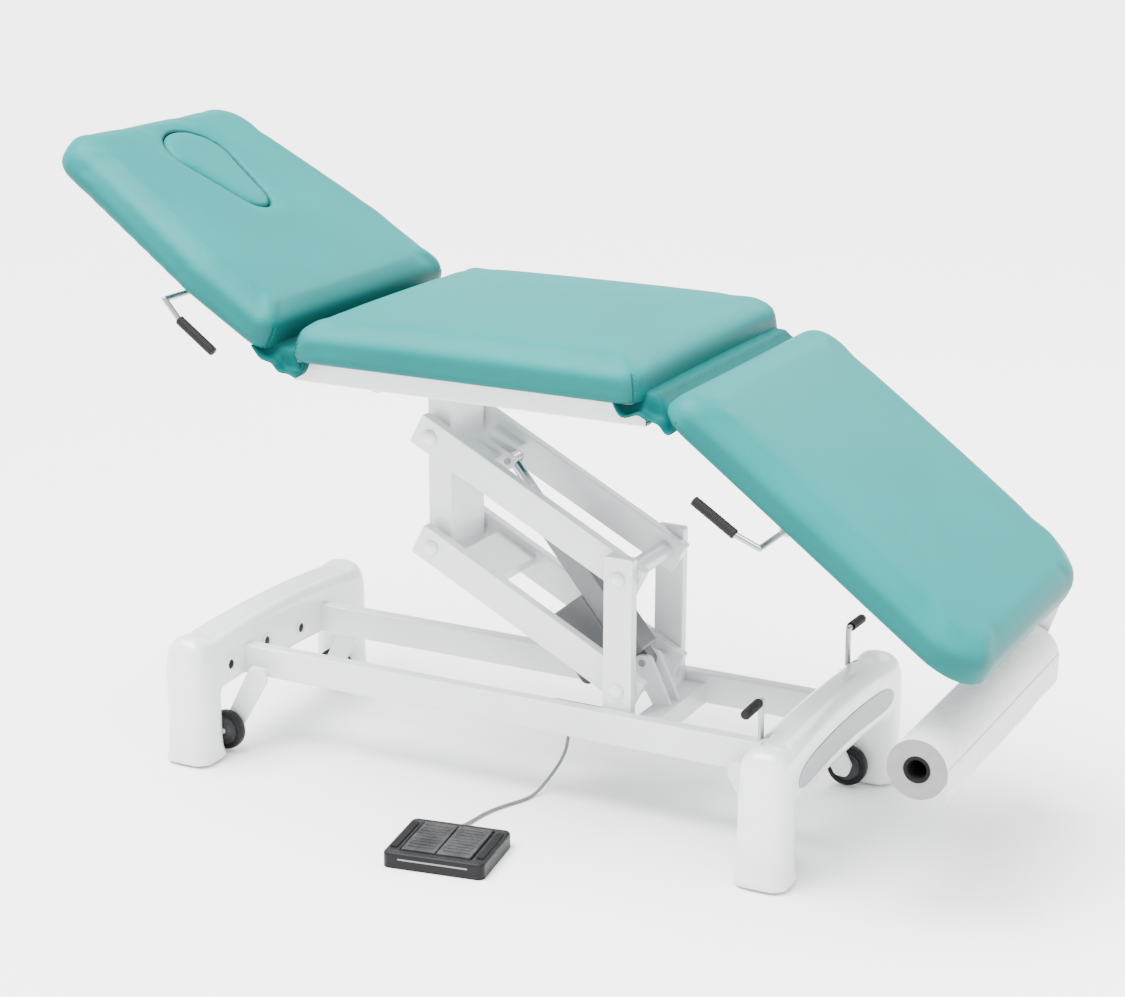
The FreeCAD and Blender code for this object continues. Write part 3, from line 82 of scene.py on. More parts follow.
def add_curve(name, points, radius, material, kind="POLY", resolution=6):
    """A round tube along points, straight between them or smooth as a NURBS curve."""
    data = bpy.data.curves.new(name, "CURVE")
    data.dimensions = "3D"
    data.bevel_depth = radius
    data.bevel_resolution = resolution
    data.use_fill_caps = True
    spline = data.splines.new(kind)
    spline.points.add(len(points) - 1)
    for point, place in zip(spline.points, points):
        point.co = (*place, 1)
    if kind == "NURBS":
        spline.order_u = 3
        spline.use_endpoint_u = True
        data.resolution_u = 12
    curve = bpy.data.objects.new(name, data)
    bpy.context.collection.objects.link(curve)
    data.materials.append(material)
    return curve


# ---------------------------------------------------------------- materials

def shader(name):
    material = bpy.data.materials.new(name)
    material.use_nodes = True
    return material, material.node_tree, material.node_tree.nodes["Principled BSDF"]


def add_node(tree, kind, inputs=(), **settings):
    """A shader node with its settings made, and its inputs linked or given a number."""
    node = tree.nodes.new("ShaderNode" + kind)
    for name, value in settings.items():
        setattr(node, name, value)
    for name, value in dict(inputs).items():
        if isinstance(value, bpy.types.NodeSocket):
            tree.links.new(value, node.inputs[name])
        else:
            node.inputs[name].default_value = value
    return node


def noise(tree, where, scale, detail):
    return add_node(tree, "TexNoise", {"Vector": where, "Scale": scale, "Detail": detail})


def two_tone(tree, value, low, high):
    """A colour between two; low and high are each (position, colour)."""
    node = add_node(tree, "ValToRGB", {"Fac": value})
    for element, (position, colour) in zip(node.color_ramp.elements, (low, high)):
        element.position = position
        element.color = (*colour, 1)
    return node.outputs["Color"]


def carried(tree, value, source, target, **settings):
    """A number carried from one range to another."""
    node = add_node(tree, "MapRange", {"Value": value, "From Min": source[0], "From Max": source[1],
                                       "To Min": target[0], "To Max": target[1]}, **settings)
    return node.outputs["Result"]


def dimmed(tree, colour, amount):
    return add_node(tree, "VectorMath", {0: colour, "Scale": amount}, operation="SCALE").outputs["Vector"]


def calculated(tree, operation, *values):
    return add_node(tree, "Math", dict(enumerate(values)), operation=operation).outputs["Value"]


def roughen(tree, surface, height, strength, distance):
    """Bump the surface by a height."""
    node = add_node(tree, "Bump", {"Height": height, "Strength": strength, "Distance": distance})
    tree.links.new(node.outputs["Normal"], surface.inputs["Normal"])


FULL_RANGE = (0, 1)
# Below this height surfaces go patchily darker and greyer, most at the bottom.
LOW_DARKENING_HEIGHT = 0.09
LOW_DARKENING_COLOUR = (0.42, 0.40, 0.37, 1)
BLACK_SHINE = 0.12


def finish(name, colour, roughness, metal=0.0, grain=400.0, depth=0.05, mottle=0.05, coat=0.0,
           stretch=(1, 1, 1), rough_spread=0.08, patch=9.0, low_darkening=0.0, shine=0.5):
    """A surface with patchy colour, fine grain in its bump and roughness, and patchy darkening towards the
    bottom.
    """
    material, tree, surface = shader(name)
    surface.inputs["Metallic"].default_value = metal
    surface.inputs["Coat Weight"].default_value = coat
    surface.inputs["Coat Roughness"].default_value = 0.12
    surface.inputs["Specular IOR Level"].default_value = shine
    place = add_node(tree, "TexCoord").outputs["Object"]

    patches = noise(tree, place, patch, 5).outputs["Fac"]
    tint = two_tone(tree, patches, (0.3, [c * (1 - mottle) for c in colour]),
                    (0.7, [min(1, c * (1 + mottle * 0.6)) for c in colour]))
    # Patches below a height are mixed towards a grey, more the lower they are: darker towards the bottom.
    if low_darkening:
        height = add_node(tree, "SeparateXYZ", {"Vector": place}).outputs["Z"]
        low = carried(tree, height, (0, LOW_DARKENING_HEIGHT), (low_darkening, 0))
        darkened_low = add_node(tree, "Mix", {"Factor": calculated(tree, "MULTIPLY", low, patches), "A": tint,
                                       "B": LOW_DARKENING_COLOUR}, data_type="RGBA")
        tint = darkened_low.outputs["Result"]
    tree.links.new(tint, surface.inputs["Base Color"])

    stretched = add_node(tree, "Mapping", {"Vector": place, "Scale": stretch}).outputs["Vector"]
    fine = noise(tree, stretched, grain, 3).outputs["Fac"]
    rough = carried(tree, fine, FULL_RANGE,
                    (max(0.02, roughness - rough_spread), min(1, roughness + rough_spread)))
    tree.links.new(rough, surface.inputs["Roughness"])
    roughen(tree, surface, fine, depth, 0.001)
    return material


def vinyl(name, colour, shine=0.11):
    """Upholstery vinyl: cell-like pressed grain with painted shade in its creases, slow colour variation,
    painted shade on its sides and a little painted light on its tops.
    """
    material, tree, surface = shader(name)
    surface.inputs["Specular IOR Level"].default_value = shine
    coordinates = add_node(tree, "TexCoord")
    place = coordinates.outputs["Object"]
    slow = noise(tree, place, 5, 4).outputs["Fac"]
    tint = two_tone(tree, slow, (0.32, [c * 0.93 for c in colour]),
                    (0.68, [min(1, c * 1.04) for c in colour]))

    warp = noise(tree, place, 160, 2).outputs["Color"]
    bent = add_node(tree, "Mix", {"Factor": 0.012, "A": place, "B": warp}, data_type="VECTOR")
    cells = add_node(tree, "TexVoronoi", {"Vector": bent.outputs["Result"], "Scale": 520},
                     feature="DISTANCE_TO_EDGE")
    # The grain's crease lines give the bump and also darken the colour a little: painted shade in the
    # creases.
    crease_and_painted_shade = carried(tree, cells.outputs["Distance"], (0, 0.12), (0.86, 1.0))

    # Faces that turn away from straight up get a darker colour, and tops a slightly brighter one: painted
    # shade on the sides, painted light on the tops.
    normal_for_painted_shade = add_node(tree, "SeparateXYZ", {"Vector": coordinates.outputs["Normal"]})
    side = carried(tree, normal_for_painted_shade.outputs["Z"], (0, 0.70), (0.60, 1.05), interpolation_type="SMOOTHSTEP")
    tree.links.new(dimmed(tree, dimmed(tree, tint, crease_and_painted_shade), side), surface.inputs["Base Color"])
    tree.links.new(carried(tree, slow, FULL_RANGE, (0.38, 0.52)), surface.inputs["Roughness"])
    roughen(tree, surface, crease_and_painted_shade, 0.22, 0.0006)
    return material


def wound_paper(name):
    """Paper wound on a roll: fine rings and painted shade on its ends, faint crepe across it."""
    material, tree, surface = shader(name)
    surface.inputs["Roughness"].default_value = 0.9
    coordinates = add_node(tree, "TexCoord")
    place = coordinates.outputs["Object"]
    centred = add_node(tree, "VectorMath", {0: place, 1: ROLL_AXIS}, operation="SUBTRACT").outputs["Vector"]
    flat = add_node(tree, "VectorMath", {0: centred, 1: (1, 0, 1)}, operation="MULTIPLY").outputs["Vector"]
    radius = add_node(tree, "VectorMath", {0: flat}, operation="LENGTH").outputs["Value"]
    rings = calculated(tree, "SINE", calculated(tree, "MULTIPLY", radius, 4200))
    crepe = noise(tree, place, 60, 6).outputs["Fac"]
    both = calculated(tree, "MULTIPLY_ADD", rings, 0.12, crepe)
    tint = two_tone(tree, both, (0.3, (0.66, 0.66, 0.66)), (0.75, (0.76, 0.76, 0.76)))
    normal_for_painted_shade = add_node(tree, "SeparateXYZ", {"Vector": coordinates.outputs["Normal"]})
    endwise = calculated(tree, "ABSOLUTE", normal_for_painted_shade.outputs["Y"])
    # Faces turned along the roll's axis, its two ends, are darkened: painted shade on the ends.
    painted_end_shade = carried(tree, endwise, (0.7, 0.9), (1.0, 0.30))
    tree.links.new(dimmed(tree, tint, painted_end_shade), surface.inputs["Base Color"])
    roughen(tree, surface, both, 0.15, 0.0008)
    return material


TEAL = (0.003, 0.172, 0.167)
MATERIALS = {
    "vinyl": vinyl("teal_vinyl", TEAL),
    # The aprons' vinyl is a darker copy of the teal: painted shade in the gaps between the pads.
    "vinyl_shade": vinyl("teal_vinyl_painted_shade", (0.002, 0.092, 0.090), shine=0.03),
    "seam": vinyl("teal_seam", (0.002, 0.085, 0.086)),
    "thread": finish("teal_thread", (0.006, 0.13, 0.13), 0.7, grain=2500, depth=0.4, mottle=0.15),
    "board": finish("plywood", (0.20, 0.14, 0.09), 0.65, grain=90, depth=0.25, mottle=0.2,
                    stretch=(0.1, 1, 4), patch=30),
    "white_paint": finish("powder_white", (0.68, 0.69, 0.70), 0.30, grain=900, depth=0.10, mottle=0.025,
                          coat=0.35, low_darkening=0.25),
    "white_shell": finish("moulded_white", (0.74, 0.75, 0.76), 0.20, grain=1400, depth=0.04, mottle=0.02,
                          coat=0.6, low_darkening=0.45),
    "grey_trim": finish("moulded_grey", (0.30, 0.31, 0.32), 0.45, grain=1600, depth=0.25, mottle=0.06),
    "steel": finish("zinc_steel", (0.36, 0.37, 0.38), 0.32, metal=1.0, grain=300, depth=0.12, mottle=0.12,
                    stretch=(1, 8, 1)),
    "chrome": finish("chrome", (0.45, 0.46, 0.48), 0.12, metal=1.0, grain=500, depth=0.03, mottle=0.05,
                     rough_spread=0.05),
    "aluminium": finish("actuator_grey", (0.14, 0.145, 0.15), 0.42, metal=0.2, grain=700, depth=0.12,
                        mottle=0.06),
    "motor_shell": finish("motor_grey", (0.11, 0.115, 0.12), 0.5, grain=900, depth=0.3, mottle=0.06),
    "black_plastic": finish("black_plastic", (0.010, 0.010, 0.011), 0.40, grain=1200, depth=0.25,
                            mottle=0.25, shine=BLACK_SHINE),
    "rubber": finish("black_rubber", (0.010, 0.010, 0.010), 0.75, grain=600, depth=0.35, mottle=0.3,
                     shine=BLACK_SHINE),
    "wheel": finish("caster_black", (0.012, 0.012, 0.013), 0.45, grain=500, depth=0.2, mottle=0.3,
                    shine=BLACK_SHINE),
    "hub": finish("caster_hub", (0.05, 0.05, 0.055), 0.4, grain=800, depth=0.2, mottle=0.2,
                  shine=BLACK_SHINE),
    "paper": wound_paper("wound_paper"),
    "cable": finish("cable_sheath", (0.13, 0.132, 0.13), 0.5, grain=1500, depth=0.2, mottle=0.08),
    "grip": finish("black_grip", (0.012, 0.012, 0.013), 0.55, grain=1500, depth=0.3, mottle=0.25,
                   shine=BLACK_SHINE),
    "card": finish("roll_card", (0.008, 0.008, 0.009), 0.85, grain=400, depth=0.3, mottle=0.2,
                   shine=BLACK_SHINE),
    "switch_pad": finish("switch_pad", (0.035, 0.036, 0.038), 0.38, grain=220, depth=0.6, mottle=0.5,
                         patch=26, shine=BLACK_SHINE),
    "bright": finish("bright_trim", (0.20, 0.205, 0.21), 0.30, metal=1.0, grain=900, depth=0.05, mottle=0.1),
    "floor": finish("studio_floor", (0.97, 0.97, 0.97), 0.8, grain=60, depth=0.02, mottle=0.008, patch=3),
}


def paint_frame():
    """Give every CAD node the material of its slot in the record."""
    slots = {part["node"]: part["material_slot"] for part in frame["record"]["subparts"]}
    for name, thing in NODES.items():
        material = MATERIALS["white_paint" if name.startswith("caster_arm") else slots[name]]
        for slot in thing.material_slots:
            slot.link = "OBJECT"
            slot.material = material


# ---------------------------------------------------------------- mesh helpers

def add_mesh(name, verts, faces, material, smooth=True):
    """A new piece with its faces turned outwards."""
    mesh = bpy.data.meshes.new(name)
    mesh.from_pydata([tuple(v) for v in verts], [], faces)
    mesh.validate()
    tidy = bmesh.new()
    tidy.from_mesh(mesh)
    bmesh.ops.recalc_face_normals(tidy, faces=tidy.faces)
    tidy.to_mesh(mesh)
    tidy.free()
    for face in mesh.polygons:
        face.use_smooth = smooth
    mesh.materials.append(material)
    thing = bpy.data.objects.new(name, mesh)
    bpy.context.collection.objects.link(thing)
    return thing


def tube_faces(count, rings):
    """Side faces through rings of equal length."""
    faces = []
    for ring in range(rings - 1):
        for i in range(count):
            j = (i + 1) % count
            faces.append((ring * count + i, ring * count + j, (ring + 1) * count + j, (ring + 1) * count + i))
    return faces


def sheet_faces(rows, across):
    """Faces of a sheet of points that run row by row, across points in each."""
    faces = []
    for row in range(rows):
        for i in range(across - 1):
            a = row * across + i
            faces.append((a, a + 1, a + across + 1, a + across))
    return faces


def bar_faces(base):
    """Faces of a bar between two squares, its eight points starting at a number."""
    loops = ((0, 1, 5, 4), (1, 2, 6, 5), (2, 3, 7, 6), (3, 0, 4, 7), (3, 2, 1, 0), (4, 5, 6, 7))
    return [tuple(base + i for i in loop) for loop in loops]


def loft(rings):
    """Vertices and faces of a solid through rings of equal length."""
    count = len(rings[0])
    last = (len(rings) - 1) * count
    verts = [point for ring in rings for point in ring]
    caps = [tuple(reversed(range(count))), tuple(range(last, last + count))]
    return verts, tube_faces(count, len(rings)) + caps


def prism(points, low, high):
    """Vertices and faces of a straight-sided solid between two heights."""
    return loft([[Vector((p.x, p.y, z)) for p in points] for z in (low, high)])


def reskin(thing, material):
    """Give a mesh one material and smooth faces."""
    thing.data.materials.clear()
    thing.data.materials.append(material)
    for face in thing.data.polygons:
        face.use_smooth = True


def thicken(thing, thickness):
    """Give a sheet its thickness, half on each side."""
    modifier = thing.modifiers.new("Solidify", "SOLIDIFY")
    modifier.thickness = thickness
    modifier.offset = 0


def axes_from(direction):
    """A turn that takes +Z to the given direction."""
    return Vector((0, 0, 1)).rotation_difference(Vector(direction).normalized()).to_matrix()


def lathe(name, profile, origin, direction, material, steps=40):
    """A turned piece: profile is (radius, height) pairs, closed at both ends, along a direction."""
    turn = axes_from(direction)
    verts = []
    for radius, height in profile:
        for i in range(steps):
            angle = 2 * math.pi * i / steps
            local = Vector((radius * math.cos(angle), radius * math.sin(angle), height))
            verts.append(Vector(origin) + turn @ local)
    last = (len(profile) - 1) * steps
    caps = [tuple(range(steps)), tuple(range(last, last + steps))]
    return add_mesh(name, verts, tube_faces(steps, len(profile)) + caps, material)


def rounded_outline(corners, steps=10):
    """A closed outline through corners given as (x, y, radius), each rounded by an arc."""
    points = []
    count = len(corners)
    for i, (x, y, radius) in enumerate(corners):
        here = Vector((x, y))
        back = (Vector(corners[i - 1][:2]) - here).normalized()
        on = (Vector(corners[(i + 1) % count][:2]) - here).normalized()
        half = math.acos(max(-1, min(1, back.dot(on)))) / 2
        setback = radius / math.tan(half)
        first, last = here + back * setback, here + on * setback
        centre = here + (back + on).normalized() * (radius / math.sin(half))
        a0 = math.atan2(first.y - centre.y, first.x - centre.x)
        a1 = math.atan2(last.y - centre.y, last.x - centre.x)
        sweep = (a1 - a0 + math.pi) % (2 * math.pi) - math.pi
        for k in range(steps + 1):
            angle = a0 + sweep * k / steps
            points.append(Vector((centre.x + radius * math.cos(angle), centre.y + radius * math.sin(angle))))
    return points


def resample(points, step):
    """Evenly spaced points round a closed outline."""
    spots = []
    lengths = [0]
    loop = points + [points[0]]
    for a, b in zip(loop, loop[1:]):
        lengths.append(lengths[-1] + (b - a).length)
    count = max(12, round(lengths[-1] / step))
    k = 0
    for i in range(count):
        at = lengths[-1] * i / count
        while lengths[k + 1] < at:
            k += 1
        span = lengths[k + 1] - lengths[k]
        spots.append(loop[k].lerp(loop[k + 1], (at - lengths[k]) / span if span else 0))
    return spots


def normals_of(points):
    """Outward normals of a closed outline that runs anticlockwise."""
    result = []
    for i in range(len(points)):
        along = points[(i + 1) % len(points)] - points[i - 1]
        result.append(Vector((along.y, -along.x)).normalized())
    return result


def anticlockwise(points):
    """A closed outline's points in anticlockwise order."""
    area = sum(a.x * b.y - b.x * a.y for a, b in zip(points, points[1:] + points[:1]))
    return points if area > 0 else points[::-1]


# ---------------------------------------------------------------- upholstery

# How far in each ring of a pad's edge sits, and its height above the bottom or below the top.
EDGE_PROFILE = [(0.007, 0.0), (0.002, 0.003), (0.0, 0.009), (0.0, -0.034), (0.0032, -0.021),
                (0.0123, -0.0100), (0.0259, -0.0026), (0.042, 0.0)]


def stuffed_shape(outline, low, high, soften):
    """Rings round the outline from the board up and over the top edge, closed above and below."""
    points = anticlockwise(outline)
    outward = normals_of(points)
    rings = []
    for index, (inset, height) in enumerate(EDGE_PROFILE):
        inset = inset * soften
        from_top = height < 0 or index == len(EDGE_PROFILE) - 1
        z = (high if from_top else low) + height * soften
        rings.append([Vector((p.x - n.x * inset, p.y - n.y * inset, z)) for p, n in zip(points, outward)])
    return loft(rings)


def apply_modifiers(thing):
    """Apply the object's modifiers to its mesh."""
    graph = bpy.context.evaluated_depsgraph_get()
    mesh = bpy.data.meshes.new_from_object(thing.evaluated_get(graph))
    thing.modifiers.clear()
    thing.data = mesh


def remesh(thing, voxel):
    """Rebuild a solid as an even skin."""
    modifier = thing.modifiers.new("Remesh", "REMESH")
    modifier.mode = "VOXEL"
    modifier.voxel_size = voxel
    apply_modifiers(thing)


def subdivide(thing):
    modifier = thing.modifiers.new("Subdivision", "SUBSURF")
    modifier.levels = modifier.render_levels = 1
    apply_modifiers(thing)


def carve(thing, outline, low, high):
    """Cut a straight-sided hole of the given outline through a solid."""
    tool = add_mesh("carving_tool", *prism(anticlockwise(outline), low, high), MATERIALS["vinyl"])
    modifier = thing.modifiers.new("Carve", "BOOLEAN")
    modifier.object = tool
    modifier.operation = "DIFFERENCE"
    modifier.solver = "EXACT"
    apply_modifiers(thing)
    bpy.data.objects.remove(tool)


SIM_FRAMES = 20


def swell(thing, still, cap, pressure=2.6):
    """Blow the skin up by a short cloth simulation; points for which still(co) is true don't move."""
    start = [v.co.copy() for v in thing.data.vertices]
    held = thing.vertex_groups.new(name="held")
    held.add([i for i, co in enumerate(start) if still(co)], 1.0, "REPLACE")
    cloth = thing.modifiers.new("Cloth", "CLOTH")
    settings = cloth.settings
    settings.quality = 5
    settings.mass = 0.35
    settings.tension_stiffness = 18
    settings.compression_stiffness = 14
    settings.bending_stiffness = 1.2
    settings.use_pressure = True
    settings.uniform_pressure_force = pressure
    settings.vertex_group_mass = "held"
    settings.effector_weights.gravity = 0
    cloth.point_cache.frame_start = 1
    cloth.point_cache.frame_end = SIM_FRAMES
    scene = bpy.context.scene
    for number in range(1, SIM_FRAMES + 1):
        scene.frame_set(number)
    graph = bpy.context.evaluated_depsgraph_get()
    moved = [v.co.copy() for v in thing.evaluated_get(graph).data.vertices]
    thing.modifiers.clear()
    thing.vertex_groups.clear()
    scene.frame_set(1)
    for vertex, a, b in zip(thing.data.vertices, start, moved):
        shift = b - a
        if shift.length > cap:
            shift.length = cap
        vertex.co = a + shift
    thing.data.update()


def relax(thing, rounds):
    """Even out the skin a little."""
    loose = bmesh.new()
    loose.from_mesh(thing.data)
    for _ in range(rounds):
        bmesh.ops.smooth_vert(loose, verts=loose.verts, factor=0.5, use_axis_x=True, use_axis_y=True,
                              use_axis_z=True)
    loose.to_mesh(thing.data)
    loose.free()


def middle_and_half(outline):
    """The middle of an outline and half its length and width."""
    low = Vector((min(p.x for p in outline), min(p.y for p in outline)))
    high = Vector((max(p.x for p in outline), max(p.y for p in outline)))
    return (low + high) / 2, (high - low) / 2


# Skin nearer than this to the board, or to a hole's rim, stays still while the pad is blown up.
BOARD_GRIP = 0.008
RIM_GRIP = 0.009
RIM_REACH = 0.012
RELAX_ROUNDS = 5
CROWN_POWER = 2.6
PULL_POWER = 6


def crown_and_pull(pad, mid, half, low, high, crown, pull):
    """Crown the pad's top, and draw its sides in between the corners, most at half its height."""
    for vertex in pad.data.vertices:
        a = max(-1, min(1, (vertex.co.x - mid.x) / half.x))
        b = max(-1, min(1, (vertex.co.y - mid.y) / half.y))
        lift = max(0, vertex.co.z - low) / (high - low)
        rise = (1 - abs(a) ** CROWN_POWER) * (1 - abs(b) ** CROWN_POWER)
        vertex.co.z += crown * rise * lift
        belt = 0.4 + 0.6 * math.sin(math.pi * max(0, min(1, lift)))
        vertex.co.x -= math.copysign(pull * (1 - b * b) * abs(a) ** PULL_POWER, a) * belt
        vertex.co.y -= math.copysign(pull * (1 - a * a) * abs(b) ** PULL_POWER, b) * belt


def cushion(name, outline, low, high, crown, place, body, replaced, hole=None, voxel=0.007, cap=0.005,
            pull=0.002, soften=1.0):
    """A stuffed pad: remeshed solid, blown up, crowned, pulled in along its sides, then subdivided."""
    mid, half = middle_and_half(outline)
    pad = add_mesh(name, *stuffed_shape(outline, low, high, soften), MATERIALS["vinyl"])
    rim = []
    if hole:
        carve(pad, hole, low - 0.02, high + 0.03)
        rim = [Vector((p.x, p.y, 0)) for p in hole]
        hole_mid, hole_half = middle_and_half(hole)
    remesh(pad, voxel)

    def still(co):
        if co.z < low + BOARD_GRIP:
            return True
        if not rim or abs(co.x - hole_mid.x) > hole_half.x + RIM_REACH or abs(co.y) > hole_half.y + RIM_REACH:
            return False
        return min((Vector((co.x, co.y, 0)) - p).length for p in rim) < RIM_GRIP

    swell(pad, still, cap)
    crown_and_pull(pad, mid, half, low, high, crown, pull)
    relax(pad, RELAX_ROUNDS)
    subdivide(pad)
    pad.data.transform(place)
    reskin(pad, MATERIALS["vinyl"])
    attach(pad, body)
    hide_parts(*replaced)
    return pad


STITCH_PITCH = 0.0065
STITCH_HALF = 0.0022
STITCH_OFFSET = 0.0042


def seam(name, pad, points, body, stitches=True):
    """A sewn seam on a pad: a thin sunk welt along points near its skin, with stitches beside it."""
    tree = BVHTree.FromPolygons([v.co for v in pad.data.vertices], [p.vertices[:] for p in pad.data.polygons])
    line = []
    for point in points:
        spot, normal, _, _ = tree.find_nearest(point)
        line.append(spot + normal * 0.0002)
    welt = add_curve(name, line, 0.0011, MATERIALS["seam"], resolution=2)
    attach(welt, body)
    if not stitches:
        return
    verts, faces = [], []
    travel = 0
    for a, b in zip(line, line[1:]):
        travel += (b - a).length
        if travel < STITCH_PITCH:
            continue
        travel = 0
        along = (b - a).normalized()
        _, normal, _, _ = tree.find_nearest(b)
        across = along.cross(normal).normalized()
        middle = b + across * STITCH_OFFSET + normal * 0.0001
        faces += bar_faces(len(verts))
        for way in (-1, 1):
            for u, n in ((-0.0006, 0), (0, 0.0008), (0.0006, 0), (0, -0.0006)):
                verts.append(middle + along * STITCH_HALF * way + across * u + normal * n)
    thread = add_mesh(name + "_stitches", verts, faces, MATERIALS["thread"])
    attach(thread, body)


def section_place(hinge, tilt):
    """From a section's flat frame, hinge at the origin, to where it stands in the table."""
    return Matrix.Translation(hinge) @ Matrix.Rotation(tilt, 4, "Y")


TEARDROP = {"mid": -0.405, "long": 0.240, "wide": 0.150, "narrow": 0.078}


def teardrop(grow):
    """The face plug's outline, grown by a distance on every side."""
    wide, narrow = TEARDROP["wide"] / 2 + grow, TEARDROP["narrow"] / 2 + grow
    reach = TEARDROP["long"] / 2 + grow
    head = Vector((TEARDROP["mid"] - reach + wide, 0))
    foot = Vector((TEARDROP["mid"] + reach - narrow, 0))
    lean = math.asin((wide - narrow) / (foot.x - head.x))
    points = []
    for k in range(25):
        angle = math.pi / 2 - lean + (math.pi + 2 * lean) * k / 24
        points.append(head + Vector((math.cos(angle), math.sin(angle))) * wide)
    for k in range(13):
        angle = -(math.pi / 2 - lean) + (math.pi - 2 * lean) * k / 12
        points.append(foot + Vector((math.cos(angle), math.sin(angle))) * narrow)
    return resample(points, 0.006)


OUTLINE_STEP = 0.008
SEAT_CORNER = 0.040
LEG_NEAR_CORNER = 0.055
LEG_END_CORNER = 0.095


def upholster():
    """The three pads and the face plug. Each pad has its height range above its hinge's frame."""
    low, high = 0.006, 0.0715
    x0, x1, half_y = -0.366, 0.300, 0.311
    seat = rounded_outline([(x0, -half_y, SEAT_CORNER), (x1, -half_y, SEAT_CORNER),
                            (x1, half_y, SEAT_CORNER), (x0, half_y, SEAT_CORNER)])
    flat = Matrix.Translation((0, 0, HEAD_HINGE.z))
    pad = cushion("seat_cushion", resample(seat, OUTLINE_STEP), low, high, 0.013, flat, "carriage",
                  ("seat_pad",))
    for x in (x0, x1):
        for y in (-half_y, half_y):
            corner_seam(f"seat_seam_{'h' if x < 0 else 'f'}_{'n' if y < 0 else 'r'}", pad, flat,
                        (x, y), 0.012, low, high, "carriage")

    low, high = 0.0, 0.066
    place = section_place(HEAD_HINGE, HEAD_TILT)
    head = rounded_outline([(-0.024, -half_y, 0.035), (-0.024, half_y, 0.035), (-0.200, half_y, 0.30),
                            (-0.505, 0.265, 0.30), (-0.591, 0.262, 0.075), (-0.591, -0.262, 0.075),
                            (-0.505, -0.265, 0.30), (-0.200, -half_y, 0.30)])
    pad = cushion("head_cushion", resample(head, OUTLINE_STEP), low, high, 0.008, place, "head_section",
                  ("head_pad",), hole=teardrop(0.0004), voxel=0.006)
    for y in (-half_y, half_y):
        corner_seam(f"head_seam_{'n' if y < 0 else 'r'}", pad, place, (-0.024, y), 0.010, low, high,
                    "head_section")
    rim = [place @ Vector((p.x, p.y, high)) for p in teardrop(0.001)]
    seam("face_plug_seam", pad, rim + rim[:1], "head_section", stitches=False)
    cushion("face_plug_cushion", teardrop(-0.0010), low, high + 0.007, 0.003, place, "face_plug",
            ("face_plug",), voxel=0.004, cap=0.002, pull=0.0, soften=0.3)

    low, high = 0.012, 0.070
    place = section_place(LEG_HINGE, LEG_TILT)
    leg = rounded_outline([(0.012, -half_y, LEG_NEAR_CORNER), (0.676, -half_y, LEG_END_CORNER),
                           (0.676, half_y, LEG_END_CORNER), (0.012, half_y, LEG_NEAR_CORNER)])
    cushion("leg_cushion", resample(leg, OUTLINE_STEP), low, high, 0.012, place, "leg_section", ("leg_pad",))


def corner_seam(name, pad, place, corner, inset, low, high, body):
    """The upright seam at a pad's corner, from the board to the top edge."""
    x, y = corner
    away = Vector((math.copysign(inset, x), math.copysign(inset, y), 0))
    margin, steps = 0.004, 24
    points = []
    for k in range(steps + 1):
        z = low + margin + (high - low - 2 * margin) * k / steps
        points.append(place @ (Vector((x, y, z)) - away))
    seam(name, pad, points, body, stitches=True)


# ---------------------------------------------------------------- loose cloth and paper

# Each apron's profile as (x, z): stretched over its hinge in the middle, hanging in folds at the sides.
APRONS = {
    "head": {"hinge": HEAD_HINGE, "way": -1,
             "middle": [(-0.362, 0.8125), (-0.380, 0.809), (-0.398, 0.811), (-0.410, 0.819)],
             "side": [(-0.332, 0.803), (-0.333, 0.784), (-0.343, 0.772), (-0.357, 0.770), (-0.374, 0.777),
                      (-0.392, 0.787), (-0.410, 0.797), (-0.430, 0.806), (-0.436, 0.818)]},
    "leg": {"hinge": LEG_HINGE, "way": 1,
            "middle": [(0.284, 0.815), (0.300, 0.8125), (0.314, 0.812), (0.324, 0.804), (0.336, 0.796)],
            "side": [(0.252, 0.803), (0.256, 0.787), (0.272, 0.778), (0.292, 0.781), (0.310, 0.783),
                     (0.330, 0.774), (0.350, 0.758), (0.364, 0.762), (0.364, 0.781)]},
}


def even_points(profile, count):
    """Evenly spaced points along an open profile, a little smoothed, and its length."""
    profile = [Vector(point) for point in profile]
    lengths = [0]
    for a, b in zip(profile, profile[1:]):
        lengths.append(lengths[-1] + (b - a).length)
    spots = []
    k = 0
    for i in range(count):
        at = lengths[-1] * i / (count - 1)
        while k < len(profile) - 2 and lengths[k + 1] < at:
            k += 1
        spots.append(profile[k].lerp(profile[k + 1], (at - lengths[k]) / (lengths[k + 1] - lengths[k])))
    for _ in range(3):
        inner = [(spots[i - 1] + spots[i] * 2 + spots[i + 1]) / 4 for i in range(1, count - 1)]
        spots = [spots[0]] + inner + [spots[-1]]
    return spots, lengths[-1]


# Beside the frame, from this far out and over this width, the aprons' middle profile turns into the side one.
FRAME_SIDE = 0.266
FRAME_TURN = 0.018
APRON_THICKNESS = 0.0026
PAPER_THICKNESS = 0.0003
INLAY_THICKNESS = 0.0036


